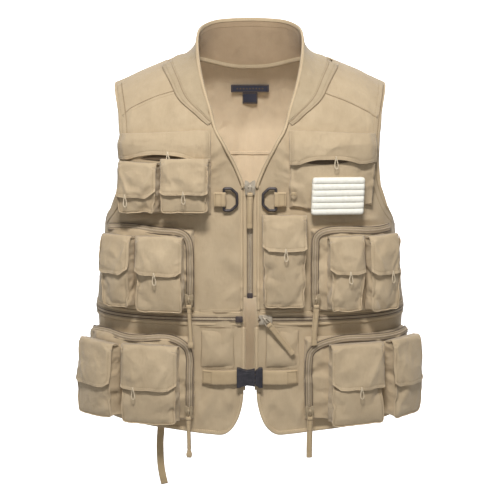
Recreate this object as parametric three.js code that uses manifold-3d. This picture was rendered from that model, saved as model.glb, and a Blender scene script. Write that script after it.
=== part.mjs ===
// Fly-fishing vest, standing open as if worn. Millimetres, +Z up, the front faces -Y.
// The origin is between the shoulders, level with the sides of the neck. The wearer's right is -X.
// Each moving mesh carries its hinge or slide in userData.joint, as a point and a direction.
import * as THREE from 'three';
import { mergeVertices } from 'three/addons/utils/BufferGeometryUtils.js';
import Module from 'manifold-3d';

const wasm = await Module();
wasm.setup();

// Torso that the cloth follows: a rounded rectangle in plan, closing over the shoulders.
const CHEST_HALF_WIDTH = 243;
const HEM_HALF_WIDTH = 258;
const WAIST_TOP = -300;
const WAIST_BOTTOM = -430;
const FRONT_DEPTH = 124;
const BACK_DEPTH = 116;
const PLAN_ROUNDNESS = 2.7;
const SHOULDER_START = -150;
const SHOULDER_ROUNDNESS = 1.6;
const NECK_SIDE_X = 88;
const SHOULDER_SLOPE = 60 / 142;

// Cloth
const CLOTH = 3;
const GAP = 0.8;
const FRONT_EDGE_X = 10.5;
const HEM_FRONT = -634;
const HEM_SIDE = -606;
const WAIST_SEAM = -435;
const HEM_CORNER_RADIUS = 50;
const QUARTER_GIRTH = 323;
const ARMHOLE_BOTTOM = -302;
const SEAM_TURN = 0.15;
const SHOULDER_SEAM_TURN = 89;
const BACK_NECK_DROP = 36;
const NECK_TURN = 49.7;
const COLLAR_SEAM_TURN = 0.8;

// Hardware of standard sizes
const WEBBING = 25;
const TAIL_WEBBING = 12;
const ZIP_CHAIN = 9;
const ZIP_TAPE = 18.4;
const RING_BAR = 3.5;
const RING_HEIGHT = 40;
const BUCKLE_HEIGHT = 33;

const KHAKI = 0xb8a385;
const KHAKI_DARK = 0xa39072;
const WEBBING_COLOUR = 0xb09a78;
const NYLON_BLACK = 0x2c2c33;
const METAL_DARK = 0x4a4a50;
const METAL_BRASSED = 0xa89a7c;
const FOAM_WHITE = 0xf2f0e8;
const LABEL_COLOUR = 0x3a3f52;

const vest = new THREE.Group();
const mix = THREE.MathUtils.lerp;
const UP = new THREE.Vector3(0, 0, 1);

// ---- helpers ----

function add(name, geometry, color, roughness = 0.9, metalness = 0) {
  const material = new THREE.MeshStandardMaterial({ color, roughness, metalness });
  const mesh = new THREE.Mesh(geometry, material);
  mesh.name = name;
  vest.add(mesh);
  return mesh;
}

// Straight lines between stations [[x, y], ...], held level past both ends.
function stations(list, x) {
  if (x <= list[0][0]) return list[0][1];
  for (let i = 1; i < list.length; i += 1) {
    const [x0, y0] = list[i - 1];
    const [x1, y1] = list[i];
    if (x <= x1) return mix(y0, y1, (x - x0) / (x1 - x0));
  }
  return list.at(-1)[1];
}

// A block of nu by nv by nw cells whose corners go where place(u, v, w) says, each from 0 to 1.
function warpedBlock(nu, nv, nw, place) {
  const block = new THREE.BoxGeometry(1, 1, 1, nu, nv, nw);
  block.deleteAttribute('normal');
  block.deleteAttribute('uv');
  const position = block.getAttribute('position');
  for (let i = 0; i < position.count; i += 1) {
    const u = position.getX(i) + 0.5;
    const v = position.getY(i) + 0.5;
    const w = position.getZ(i) + 0.5;
    const p = place(u, v, w);
    position.setXYZ(i, p.x, p.y, p.z);
  }
  const closed = mergeVertices(block, 1e-4);
  closed.computeVertexNormals();
  return closed;
}

function solid(geometry) {
  const bare = geometry.clone();
  bare.deleteAttribute('normal');
  bare.deleteAttribute('uv');
  const merged = mergeVertices(bare, 1e-4);
  return new wasm.Manifold(new wasm.Mesh({
    numProp: 3,
    vertProperties: new Float32Array(merged.getAttribute('position').array),
    triVerts: new Uint32Array(merged.getIndex().array),
  }));
}

function geometryOf(manifold) {
  const { vertProperties, triVerts } = manifold.getMesh();
  const geometry = new THREE.BufferGeometry();
  geometry.setAttribute('position', new THREE.BufferAttribute(vertProperties, 3));
  geometry.setIndex(new THREE.BufferAttribute(triVerts, 1));
  geometry.computeVertexNormals();
  return geometry;
}

// A box from one corner to the other, as a geometry.
function boxBetween([x0, y0, z0], [x1, y1, z1]) {
  const box = new THREE.BoxGeometry(x1 - x0, y1 - y0, z1 - z0);
  return box.translate((x0 + x1) / 2, (y0 + y1) / 2, (z0 + z1) / 2);
}

// Corners as vectors, in anticlockwise order.
function outline(points) {
  const corners = points.map(([x, y]) => new THREE.Vector2(x, y));
  return THREE.ShapeUtils.area(corners) < 0 ? corners.reverse() : corners;
}

function extruded(points, depth, holes = []) {
  const shape = new THREE.Shape(outline(points));
  holes.forEach((hole) => shape.holes.push(new THREE.Path(outline(hole))));
  return new THREE.ExtrudeGeometry(shape, { depth, bevelEnabled: false });
}

// ---- torso surface ----

function halfWidth(level) {
  return stations([[WAIST_BOTTOM, HEM_HALF_WIDTH], [WAIST_TOP, CHEST_HALF_WIDTH]], level);
}

function shoulderLine(x) {
  return -SHOULDER_SLOPE * Math.max(0, Math.abs(x) - NECK_SIDE_X);
}

// A point of the torso at a turn in degrees (0 is the front, positive to +X) and a level.
// Above SHOULDER_START the level runs up to 0 on the shoulder line. out moves it off level.
function torso(turn, level, out = 0) {
  const angle = THREE.MathUtils.degToRad(turn);
  const a = halfWidth(level);
  const b = Math.cos(angle) > 0 ? FRONT_DEPTH : BACK_DEPTH;
  const s = Math.sin(angle);
  const c = Math.cos(angle);
  const n = PLAN_ROUNDNESS;
  const r = (Math.abs(s / a) ** n + Math.abs(c / b) ** n) ** (-1 / n);
  const x = r * s;
  const y = -r * c;
  const normal = new THREE.Vector3(
    Math.sign(x) * Math.abs(x / a) ** (n - 1) / a,
    Math.sign(y) * Math.abs(y / b) ** (n - 1) / b,
    0,
  ).normalize();
  const p = new THREE.Vector3(x, y, level);
  if (level > SHOULDER_START) {
    const t = Math.min(1, 1 - level / SHOULDER_START);
    p.z = mix(SHOULDER_START, shoulderLine(x), t);
    p.y *= Math.max(0, 1 - t ** SHOULDER_ROUNDNESS) ** (1 / SHOULDER_ROUNDNESS);
  }
  return p.addScaledVector(normal, out);
}

function surfaceNormal(turn, level) {
  const step = 0.4;
  const top = Math.min(level + step, -0.01);
  const across = torso(turn + step, level).sub(torso(turn - step, level));
  const upward = torso(turn, top).sub(torso(turn, top - 2 * step));
  return across.cross(upward).normalize();
}

// Right, up and outward at a turn, as the frame that a flat-faced piece is built in.
function frameAt(turn, level, out) {
  const origin = torso(turn, level, out);
  const outward = origin.clone().sub(torso(turn, level, out - 1)).normalize();
  const right = UP.clone().cross(outward).normalize();
  return { origin, right, up: UP.clone(), outward };
}

function matrixOf({ origin, right, up, outward }) {
  return new THREE.Matrix4().makeBasis(right, up, outward).setPosition(origin);
}

function inFrame(frame, x, y, z) {
  return new THREE.Vector3(x, y, z).applyMatrix4(matrixOf(frame));
}

// ---- body panels ----

const ARMHOLE = [[ARMHOLE_BOTTOM, 90 - SEAM_TURN], [-289, 82], [-260, 74.5], [-220, 70],
  [-178, 68.6], [-130, 69], [-81, 70], [0, 73.8]];
const NECKLINE = [[-212, 4.84], [-181, 10.7], [-139, 20.3], [-118, 27.2], [-104, 33],
  [-74.4, 42], [-52, 45.4], [-16.9, 49.2], [0, 50.5]];
const ROWS = 18;
const WAIST_ROWS = 4;
const ARM_ROWS = 8;

function sideTurn(level) {
  return stations(ARMHOLE, level);
}

function rowLevel(v, hem, topTurn) {
  const row = v * ROWS;
  if (row <= WAIST_ROWS) return mix(hem, ARMHOLE_BOTTOM, row / WAIST_ROWS);
  if (row <= WAIST_ROWS + ARM_ROWS) {
    return mix(ARMHOLE_BOTTOM, SHOULDER_START, (row - WAIST_ROWS) / ARM_ROWS);
  }
  const share = (row - WAIST_ROWS - ARM_ROWS) / (ROWS - WAIST_ROWS - ARM_ROWS);
  const rise = Math.sin(THREE.MathUtils.degToRad(topTurn * share)) ** (2 / SHOULDER_ROUNDNESS);
  return SHOULDER_START * (1 - rise);
}

function hemLevel(girth) {
  const straight = FRONT_EDGE_X + HEM_CORNER_RADIUS;
  if (girth < straight) {
    const r = HEM_CORNER_RADIUS;
    return HEM_FRONT + r - Math.sqrt(Math.max(0, r * r - (straight - girth) ** 2));
  }
  const share = (girth - straight) / (QUARTER_GIRTH - straight);
  return mix(HEM_FRONT, HEM_SIDE, share ** 0.7);
}

function clothPoint(turn, level, w) {
  return torso(turn, level).addScaledVector(surfaceNormal(turn, level), w * CLOTH);
}

function frontPanel(side) {
  return warpedBlock(12, ROWS, 1, (u, v, w) => {
    const share = (side > 0 ? u : 1 - u) ** 1.5;
    const hem = hemLevel(mix(FRONT_EDGE_X, QUARTER_GIRTH, share));
    const level = rowLevel(v, hem, SHOULDER_SEAM_TURN);
    const turn = mix(stations(NECKLINE, level), sideTurn(level), share);
    return clothPoint(side * turn, level, w);
  });
}

// The back from the waist zip to the shoulders, dipping at the neck.
function backPanel() {
  const shoulderTurn = stations(ARMHOLE, 0);
  return warpedBlock(20, ROWS, 1, (u, v, w) => {
    const across = 2 * u - 1;
    const neck = Math.min(1, Math.abs(across) * shoulderTurn / (NECK_TURN + COLLAR_SEAM_TURN));
    const top = BACK_NECK_DROP * (1 - neck ** 3);
    const topRise = 1 + top / SHOULDER_START;
    const seam = THREE.MathUtils.degToRad(SHOULDER_SEAM_TURN);
    const topTurn = Math.min(seam, Math.asin(topRise ** (SHOULDER_ROUNDNESS / 2)));
    const level = rowLevel(v, WAIST_SEAM + GAP, THREE.MathUtils.radToDeg(topTurn));
    return clothPoint(180 + across * sideTurn(level), level, w);
  });
}

// The band of the back below the waist zip.
function lowerBackPanel() {
  return warpedBlock(20, 2, 1, (u, v, w) => {
    const level = mix(HEM_SIDE, WAIST_SEAM - GAP, v);
    return clothPoint(180 + (2 * u - 1) * sideTurn(level), level, w);
  });
}

// The collar lies along the neckline in front and stands up behind the neck.
function collar() {
  const seamTurns = [[27.4, -113], [31, -104], [40, -74.4], [44.6, -38], [48, -4]];
  const right = seamTurns.map(([turn, level]) => torso(turn - COLLAR_SEAM_TURN, level, 1));
  const backTurns = [[45, -3], [33, -20.5], [15, -31]];
  backTurns.forEach(([turn, level]) => right.push(torso(180 - turn, level, -1)));
  const centre = torso(180, -BACK_NECK_DROP + 4, -1);
  const edge = [[57, -118, -113], [64, -105, -90], [75, -82, -55], [84, -50, -20], [88, -16, 12],
    [82, 16, 31], [60, 40, 40], [30, 51, 43]].map((p) => new THREE.Vector3(...p));
  const crown = new THREE.Vector3(0, 54, 44);
  const mirrored = (points) => points.map((p) => new THREE.Vector3(-p.x, p.y, p.z)).reverse();
  const seamLine = new THREE.CatmullRomCurve3([...right, centre, ...mirrored(right)]);
  const edgeLine = new THREE.CatmullRomCurve3([...edge, crown, ...mirrored(edge)]);
  const sheet = (u, v) => seamLine.getPoint(u).lerp(edgeLine.getPoint(u), v);
  return warpedBlock(36, 3, 1, (u, v, w) => {
    const step = 0.01;
    const u0 = Math.max(0, u - step);
    const u1 = Math.min(1, u + step);
    const along = sheet(u1, 0.5).sub(sheet(u0, 0.5));
    const across = sheet(u, 1).sub(sheet(u, 0));
    const normal = along.cross(across).normalize();
    return sheet(u, v).addScaledVector(normal, w * CLOTH);
  });
}

add('back_panel', backPanel(), KHAKI);
add('lower_back_panel', lowerBackPanel(), KHAKI);
add('right_front_panel', frontPanel(-1), KHAKI);
add('left_front_panel', frontPanel(1), KHAKI);
add('collar', collar(), KHAKI);

// Blank maker's tab inside the back of the neck: a wide bar with a small tag under it.
const LABEL_LEVEL = -80;
const labelFrame = frameAt(180, LABEL_LEVEL, -4.5);
labelFrame.outward = surfaceNormal(180, LABEL_LEVEL);
labelFrame.up = labelFrame.outward.clone().cross(labelFrame.right);
const labelOutline = [[-33, 0], [-13, 0], [-13, -24], [13, -24], [13, 0], [33, 0], [33, 15], [-33, 15]];
const label = extruded(labelOutline, 1);
add('neck_label', label.applyMatrix4(matrixOf(labelFrame)), LABEL_COLOUR, 0.8);

// ---- pockets ----

const POCKET_BACK = CLOTH + 2;

// A flat-backed compartment that follows the torso between two turns and two levels.
function compartment(name, turns, levels, depth) {
  add(name, warpedBlock(8, 4, 1, (u, v, w) => torso(
    mix(turns[0], turns[1], u),
    mix(levels[0], levels[1], v),
    mix(POCKET_BACK, depth, w),
  )), KHAKI);
}

// A pouch whose back follows the torso and whose front is flat, and its flap.
// The flap is a lid and a drop, hinged along its sewn edge at the back of the pouch.
function pouch({ name, turns, levels, back, depth, drop }) {
  const middle = (turns[0] + turns[1]) / 2;
  const frame = frameAt(middle, levels[1], back + GAP);
  const toFrame = matrixOf(frame).invert();
  const offset = (turn) => torso(turn, levels[1], back + GAP).applyMatrix4(toFrame).x;
  const left = offset(turns[0]);
  const right = offset(turns[1]);
  add(name, warpedBlock(4, 2, 1, (u, v, w) => {
    const rear = torso(mix(turns[0], turns[1], u), mix(levels[0], levels[1], v), back + GAP);
    const front = inFrame(frame, mix(left, right, u), mix(levels[0] - levels[1], 0, v), depth);
    return rear.lerp(front, w);
  }), KHAKI);
  const start = 3;
  const cloth = 2;
  const lid = 1.2;
  const section = [[depth + 1, -drop], [depth + 1 + cloth, -drop], [depth + 1 + cloth, lid + cloth],
    [start, lid + cloth], [start, lid], [depth + 1, lid]];
  const flap = extruded(section.map(([d, h]) => [-d, h]), right - left);
  flap.rotateY(Math.PI / 2);
  flap.translate(left, 0, 0);
  const flapMesh = add(name.replace('pouch', 'flap'), flap.applyMatrix4(matrixOf(frame)), KHAKI);
  flapMesh.userData.joint = {
    point: inFrame(frame, 0, lid + cloth / 2, start).toArray(),
    axis: frame.right.clone().negate().toArray(),
  };
}

// A wide flap that follows the torso over the top of a chest pocket.
function chestFlap(name, turns, topLevel, bottomLevel, depth) {
  const cloth = 2.5;
  const lidTop = topLevel + cloth;
  const outside = depth + 1 + cloth;
  const lining = [[1, POCKET_BACK + 1, topLevel], [0.75, depth + 1, topLevel], [0, depth + 1, bottomLevel]];
  const face = [[1, POCKET_BACK + 1, lidTop], [0.75, outside, lidTop], [0, outside, bottomLevel]];
  const along = (list, v, index) => stations(list.map((row) => [row[0], row[index]]).reverse(), v);
  const mesh = add(name, warpedBlock(8, 4, 1, (u, v, w) => torso(
    mix(turns[0], turns[1], u),
    mix(along(lining, v, 2), along(face, v, 2), w),
    mix(along(lining, v, 1), along(face, v, 1), w),
  )), KHAKI);
  const a = torso(turns[0], topLevel, POCKET_BACK + 1);
  const b = torso(turns[1], topLevel, POCKET_BACK + 1);
  mesh.userData.joint = {
    point: a.clone().lerp(b, 0.5).toArray(),
    axis: a.clone().sub(b).normalize().toArray(),
  };
}

const CHEST_DEPTH = 14;
const SIDE_DEPTH = 18;
const LOWER_DEPTH = 21;

compartment('right_chest_pocket', [-68.3, -27], [-262, -129], CHEST_DEPTH);
chestFlap('right_chest_flap', [-68.3, -27], -126.5, -165, CHEST_DEPTH);
compartment('left_chest_pocket', [27, 66], [-252, -129], CHEST_DEPTH);
chestFlap('left_chest_flap', [27, 66], -126.5, -172, CHEST_DEPTH);
compartment('right_side_pocket', [-75, -36.7], [-422, -284], SIDE_DEPTH);
compartment('left_side_pocket', [39, 74.5], [-424, -284], SIDE_DEPTH);
compartment('right_lower_pocket', [-82, -37], [-608, -464], LOWER_DEPTH);
compartment('left_lower_pocket', [36, 82], [-608, -464], LOWER_DEPTH);

const POUCHES = [
  { name: 'right_chest_outer_pouch', turns: [-65.5, -51.5], levels: [-258, -179],
    back: CHEST_DEPTH, depth: 24, drop: 52 },
  { name: 'right_chest_inner_pouch', turns: [-50.4, -28], levels: [-254, -172],
    back: CHEST_DEPTH, depth: 24, drop: 52 },
  { name: 'left_front_pouch', turns: [9.5, 36.5], levels: [-412, -264],
    back: CLOTH, depth: 24, drop: 52 },
  { name: 'right_side_outer_pouch', turns: [-71.5, -60.6], levels: [-415, -300],
    back: SIDE_DEPTH, depth: 24, drop: 58 },
  { name: 'right_side_inner_pouch', turns: [-59.4, -41.2], levels: [-417, -298],
    back: SIDE_DEPTH, depth: 24, drop: 58 },
  { name: 'left_side_inner_pouch', turns: [46.3, 59.4], levels: [-418, -298],
    back: SIDE_DEPTH, depth: 24, drop: 56 },
  { name: 'left_side_outer_pouch', turns: [60.6, 71.5], levels: [-421, -300],
    back: SIDE_DEPTH, depth: 24, drop: 60 },
  { name: 'right_lower_outer_pouch', turns: [-78.5, -65], levels: [-603, -481],
    back: LOWER_DEPTH, depth: 26, drop: 68 },
  { name: 'right_lower_inner_pouch', turns: [-63.6, -43.5], levels: [-606, -478],
    back: LOWER_DEPTH, depth: 26, drop: 68 },
  { name: 'left_lower_inner_pouch', turns: [47, 65.2], levels: [-608, -476],
    back: LOWER_DEPTH, depth: 26, drop: 70 },
  { name: 'left_lower_outer_pouch', turns: [66.6, 78.5], levels: [-603, -476],
    back: LOWER_DEPTH, depth: 26, drop: 74 },
];
POUCHES.forEach(pouch);

// Ribbed foam patch on the left chest pocket, where flies are hooked.
const PATCH_WIDTH = 88;
const PATCH_RIBS = 6;
const PATCH_RIB_HEIGHT = 10.2;
const PATCH_DEPTH = 9;
const PATCH_GROOVE = 2;
const patchFrame = frameAt(51, -200, CHEST_DEPTH + GAP);
const patchSection = [[0, 0]];
for (let rib = 0; rib < PATCH_RIBS; rib += 1) {
  const top = -rib * PATCH_RIB_HEIGHT;
  const crest = [[PATCH_DEPTH - PATCH_GROOVE, 0], [PATCH_DEPTH, 1.8], [PATCH_DEPTH, 8.4]];
  crest.forEach(([depth, down]) => patchSection.push([-depth, top - down]));
}
patchSection.push([-PATCH_DEPTH + PATCH_GROOVE, -PATCH_RIBS * PATCH_RIB_HEIGHT]);
patchSection.push([0, -PATCH_RIBS * PATCH_RIB_HEIGHT]);
const patch = extruded(patchSection, PATCH_WIDTH).rotateY(Math.PI / 2);
patch.translate(-PATCH_WIDTH / 2, 0, 0);
add('fly_patch', patch.applyMatrix4(matrixOf(patchFrame)), FOAM_WHITE, 0.95);

// ---- zips ----

// Closed chain between the two fronts: tape, with the row of teeth standing on it.
const ZIP_TOP = -214;
const ZIP_END = -398;
const FRONT_Y = -FRONT_DEPTH;
const zipSection = [[-ZIP_TAPE / 2, FRONT_Y - 0.5], [ZIP_TAPE / 2, FRONT_Y - 0.5],
  [ZIP_TAPE / 2, FRONT_Y - 2], [ZIP_CHAIN / 2, FRONT_Y - 2], [ZIP_CHAIN / 2, FRONT_Y - 4],
  [-ZIP_CHAIN / 2, FRONT_Y - 4], [-ZIP_CHAIN / 2, FRONT_Y - 2], [-ZIP_TAPE / 2, FRONT_Y - 2]];
add('front_zip', extruded(zipSection, ZIP_TOP - ZIP_END).translate(0, 0, ZIP_END), KHAKI_DARK, 0.6);

// Zip round the waist from one front edge to the other, where the lower part comes away.
const WAIST_ZIP_END = 6;
add('waist_zip', warpedBlock(48, 1, 1, (u, v, w) => torso(
  mix(WAIST_ZIP_END, 360 - WAIST_ZIP_END, u),
  WAIST_SEAM + mix(-6, 6, v),
  mix(POCKET_BACK, POCKET_BACK + 2, w),
)), KHAKI_DARK, 0.6);

const BAIL_AXIS = [0, 1.75, 6.3];

// A slider: a shield over the chain, and a bridge that the pull hangs from.
// It is built upright, and twist turns the shield, not the bridge, to lie along the chain.
function sliderGeometry(twist) {
  const half = [[5, -10], [7.5, 3], [7.5, 8], [4, 10]];
  const shield = extruded([...half, ...half.map(([x, y]) => [-x, y]).reverse()], 4);
  shield.translate(0, 0, 0.4).rotateZ(twist);
  const bridge = solid(boxBetween([-2, -7, 4], [2, 6, 9.6]));
  const eye = solid(boxBetween([-3, -4.5, 4.6], [3, 3.5, 8]));
  return geometryOf(solid(shield).add(bridge).subtract(eye));
}

// A pull: a stirrup round the bridge, a strip of webbing and a thick end.
function pullGeometry(length) {
  const side = [[5, 3], [5, -10], [4, -14], [4, 14 - length], [5.5, 10 - length], [5.5, 2 - length],
    [4.5, -length]];
  const mirroredSide = side.map(([x, y]) => [-x, y]).reverse();
  const stirrup = [[-3, 0.5], [3, 0.5], [3, -8.5], [-3, -8.5]];
  return extruded([...side, ...mirroredSide], 2, [stirrup]).translate(0, 0, 5.3);
}

// travel is the direction in which the slider opens its zip.
function sliderAndPull(prefix, frame, length, travel, twist = 0) {
  const matrix = matrixOf(frame);
  const body = sliderGeometry(twist).applyMatrix4(matrix);
  const slider = add(`${prefix}_slider`, body, METAL_BRASSED, 0.4, 0.8);
  slider.userData.joint = { axis: travel.toArray() };
  const pull = add(`${prefix}_pull`, pullGeometry(length).applyMatrix4(matrix), WEBBING_COLOUR);
  pull.userData.joint = {
    point: inFrame(frame, ...BAIL_AXIS).toArray(),
    axis: frame.right.clone().negate().toArray(),
  };
}

const DOWN = UP.clone().negate();
sliderAndPull('front_zip', frameAt(0, -217, 4), 66, DOWN);
sliderAndPull('right_side_zip', frameAt(-38.9, -400, SIDE_DEPTH), 80, UP);
sliderAndPull('left_side_zip', frameAt(41.4, -400, SIDE_DEPTH), 76, UP);
sliderAndPull('right_lower_zip', frameAt(-39.4, -588, LOWER_DEPTH), 78, UP);
sliderAndPull('left_lower_zip', frameAt(38.6, -588, LOWER_DEPTH), 78, UP);

const WAIST_PULL_LEAN = THREE.MathUtils.degToRad(38);
const waistFrame = frameAt(11.5, WAIST_SEAM, POCKET_BACK + 2);
waistFrame.right.applyAxisAngle(waistFrame.outward, WAIST_PULL_LEAN);
waistFrame.up.applyAxisAngle(waistFrame.outward, WAIST_PULL_LEAN);
const waistTravel = UP.clone().cross(waistFrame.outward);
sliderAndPull('waist_zip', waistFrame, 74, waistTravel, Math.PI / 2 - WAIST_PULL_LEAN);

// ---- rings on webbing tabs ----

const RING_LEVEL = -236;
const RING_X = 42;
const RING_Y = FRONT_Y - CLOTH - 4.4;
const TAB_START = 58.5;
const TAB_HALF_THICKNESS = 3.8;
const TAB_WALL = 1.3;

function ringTab(side) {
  const end = RING_X - 4.5;
  const back = RING_Y + TAB_HALF_THICKNESS;
  const front = RING_Y - TAB_HALF_THICKNESS;
  const loop = [[TAB_START, front], [TAB_START, back], [end, back], [end, front]];
  const eye = [[RING_X + 3, front + TAB_WALL], [RING_X + 3, back - TAB_WALL],
    [end + TAB_WALL, back - TAB_WALL], [end + TAB_WALL, front + TAB_WALL]];
  const flip = (points) => points.map(([x, y]) => [side * x, y]);
  return extruded(flip(loop), WEBBING, [flip(eye)]).translate(0, 0, RING_LEVEL - WEBBING / 2);
}

function dRing(side) {
  const h = RING_HEIGHT / 2;
  const b = RING_BAR;
  const outer = [[b / 2, h], [-12, h], [-23, h / 2], [-23, -h / 2], [-12, -h], [b / 2, -h]];
  const inner = [[-b / 2, h - b], [-10.6, h - b], [-23 + b, h / 2 - 1.5], [-23 + b, 1.5 - h / 2], [-10.6, b - h],
    [-b / 2, b - h]];
  const flip = (points) => points.map(([x, y]) => [side * x, y]);
  const ring = extruded(flip(outer), b, [flip(inner)]);
  return ring.rotateX(Math.PI / 2).translate(side * RING_X, RING_Y + b / 2, RING_LEVEL);
}

for (const [name, side] of [['right', -1], ['left', 1]]) {
  add(`${name}_ring_tab`, ringTab(side), WEBBING_COLOUR);
  const ring = add(`${name}_d_ring`, dRing(side), METAL_DARK, 0.4, 0.9);
  ring.userData.joint = { point: [side * RING_X, RING_Y, RING_LEVEL], axis: [0, 0, side] };
}

// ---- belt and side-release buckle ----

const BELT_LEVEL = -533;
const BELT_Y = -131.4;
const BELT_THICKNESS = 2;
const BELT_START = 79;
const SOCKET_X = [-22, 8];
const PLUG_X = [8.6, 21];
const BUCKLE_BACK = -127.9;
const BUCKLE_FRONT = -139.5;

function beltBox(x0, x1, thickness, height) {
  return boxBetween(
    [x0, BELT_Y - thickness / 2, BELT_LEVEL - height / 2],
    [x1, BELT_Y + thickness / 2, BELT_LEVEL + height / 2],
  );
}

function buckleBlock([x0, x1], shoulder) {
  const h = BUCKLE_HEIGHT / 2;
  const block = extruded([[x0, -h + shoulder], [x0 + shoulder, -h], [x1, -h], [x1, h], [x0 + shoulder, h],
    [x0, h - shoulder]], BUCKLE_BACK - BUCKLE_FRONT);
  return solid(block.rotateX(Math.PI / 2).translate(0, BUCKLE_BACK, BELT_LEVEL));
}

function buckleCut(x0, x1, back, front, halfHeight) {
  return solid(boxBetween([x0, front, BELT_LEVEL - halfHeight], [x1, back, BELT_LEVEL + halfHeight]));
}

function buckleSocket() {
  const cavity = buckleCut(-15, 9, -132.6, -137.6, 13);
  const sideWindows = buckleCut(-12, -3, -133, -137.2, 20);
  const webbingSlot = buckleCut(-23, -17, BELT_Y + 1.6, BELT_Y - 1.6, 13.2);
  return geometryOf(buckleBlock(SOCKET_X, 4).subtract(cavity).subtract(sideWindows).subtract(webbingSlot));
}

function bucklePlug() {
  const prongEnd = -13;
  const centre = buckleCut(prongEnd, 9, -133.6, -136.6, 2.5);
  const sideProngs = [-1, 1].map((side) => {
    const z = BELT_LEVEL + side * 9.6;
    return solid(boxBetween([prongEnd, -136.6, z - 2.2], [9, -133.6, z + 2.2]));
  });
  const webbingSlot = buckleCut(8, 22, BELT_Y + 1.7, BELT_Y - 1.7, 13.2);
  const body = buckleBlock(PLUG_X, 0).subtract(webbingSlot);
  return geometryOf(body.add(centre).add(sideProngs[0]).add(sideProngs[1]));
}

add('right_belt_strap', beltBox(-BELT_START, -17.6, BELT_THICKNESS, WEBBING), WEBBING_COLOUR);
add('left_belt_strap', beltBox(11, BELT_START, BELT_THICKNESS, WEBBING), WEBBING_COLOUR);
add('buckle_socket', buckleSocket(), NYLON_BLACK, 0.45);
add('buckle_plug', bucklePlug(), NYLON_BLACK, 0.45).userData.joint = { axis: [1, 0, 0] };

// Loose end of the cinch webbing, sewn inside the right front above the hem.
const TAIL_ROUTE = [[-149, -106, -597], [-149, -106, -612], [-150, -106, -632], [-151.5, -106, -652],
  [-151.5, -106, -672], [-150.5, -106, -692], [-148, -106, -710], [-144.5, -106, -726]];
const tailLine = new THREE.CatmullRomCurve3(TAIL_ROUTE.map((p) => new THREE.Vector3(...p)));
add('strap_tail', warpedBlock(1, 14, 1, (u, v, w) => {
  const p = tailLine.getPointAt(1 - v);
  const along = tailLine.getTangentAt(1 - v).negate();
  const across = along.clone().cross(new THREE.Vector3(0, -1, 0)).negate().normalize();
  const depth = new THREE.Vector3(0, -1, 0);
  const side = across.x < 0 ? across.negate() : across;
  return p.addScaledVector(side, (u - 0.5) * TAIL_WEBBING).addScaledVector(depth, (w - 0.5) * 2);
}), WEBBING_COLOUR);

export default vest;
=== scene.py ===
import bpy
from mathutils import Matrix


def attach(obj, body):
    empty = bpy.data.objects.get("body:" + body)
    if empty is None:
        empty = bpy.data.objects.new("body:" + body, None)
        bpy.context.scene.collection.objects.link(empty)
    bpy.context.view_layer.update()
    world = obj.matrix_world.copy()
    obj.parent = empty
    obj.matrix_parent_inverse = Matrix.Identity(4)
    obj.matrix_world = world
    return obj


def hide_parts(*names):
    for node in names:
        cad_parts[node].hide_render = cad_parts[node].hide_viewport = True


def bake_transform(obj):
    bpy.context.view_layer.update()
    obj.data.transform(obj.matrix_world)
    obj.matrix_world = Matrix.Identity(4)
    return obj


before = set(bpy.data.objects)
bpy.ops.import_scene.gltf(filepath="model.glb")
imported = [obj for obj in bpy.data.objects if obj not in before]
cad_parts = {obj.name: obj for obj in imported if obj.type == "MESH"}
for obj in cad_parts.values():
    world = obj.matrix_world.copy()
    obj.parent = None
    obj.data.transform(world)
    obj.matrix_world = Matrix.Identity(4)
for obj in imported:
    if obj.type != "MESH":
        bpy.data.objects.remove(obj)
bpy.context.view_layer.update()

import copy
import math

import bmesh
import bpy
import numpy as np
from mathutils import Vector
from mathutils.bvhtree import BVHTree

MM = 0.001
scene = bpy.context.scene

# Torso that the cloth follows, with the CAD model's numbers.
HEM_HALF_WIDTH, CHEST_HALF_WIDTH = 258, 243
WAIST_BOTTOM, WAIST_TOP, WAIST_SEAM = -430, -300, -435
FRONT_DEPTH, BACK_DEPTH, ROUNDNESS = 124, 116, 2.7
SHOULDER_START, SHOULDER_ROUNDNESS = -150, 1.6
NECK_SIDE_X, SHOULDER_SLOPE = 88, 60 / 142
CLOTH, GAP, POCKET_BACK = 3, 0.8, 5
FRONT_EDGE_X, HEM_FRONT, HEM_SIDE, HEM_CORNER = 10.5, -634, -606, (64, 80)
QUARTER_GIRTH, ARMHOLE_BOTTOM = 323, -302
ARMHOLE = [(-302, 89.85), (-289, 82), (-260, 74.5), (-220, 70), (-178, 68.6), (-130, 69), (-81, 70),
           (0, 73.8)]
NECKLINE = [(-212, 4.84), (-181, 10.7), (-139, 20.3), (-118, 27.2), (-104, 33), (-74.4, 42), (-52, 45.4),
            (-16.9, 49.2), (0, 50.5)]
BACK_NECK_DROP, NECK_TURN = 36, 50.5
CHEST_DEPTH, SIDE_DEPTH, LOWER_DEPTH = 14, 18, 21
BELT_LEVEL, BELT_Y = -533, -131.4
RING_LEVEL, RING_X, RING_Y = -236, 42, -131.4


# ---- numbers ----

def noise(x, y, seed):
    """Smooth seeded noise from -1 to 1, one bump to each unit of x and y."""
    size = 64
    lattice = np.random.RandomState(seed).uniform(-1, 1, (size, size))
    x, y = np.broadcast_arrays(np.asarray(x, float), np.asarray(y, float))
    i, j = np.floor(x).astype(int), np.floor(y).astype(int)
    u, v = x - i, y - j
    u, v = u * u * (3 - 2 * u), v * v * (3 - 2 * v)
    i, j, i1, j1 = i % size, j % size, (i + 1) % size, (j + 1) % size
    low = lattice[i, j] * (1 - u) + lattice[i1, j] * u
    high = lattice[i, j1] * (1 - u) + lattice[i1, j1] * u
    return low * (1 - v) + high * v


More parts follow.
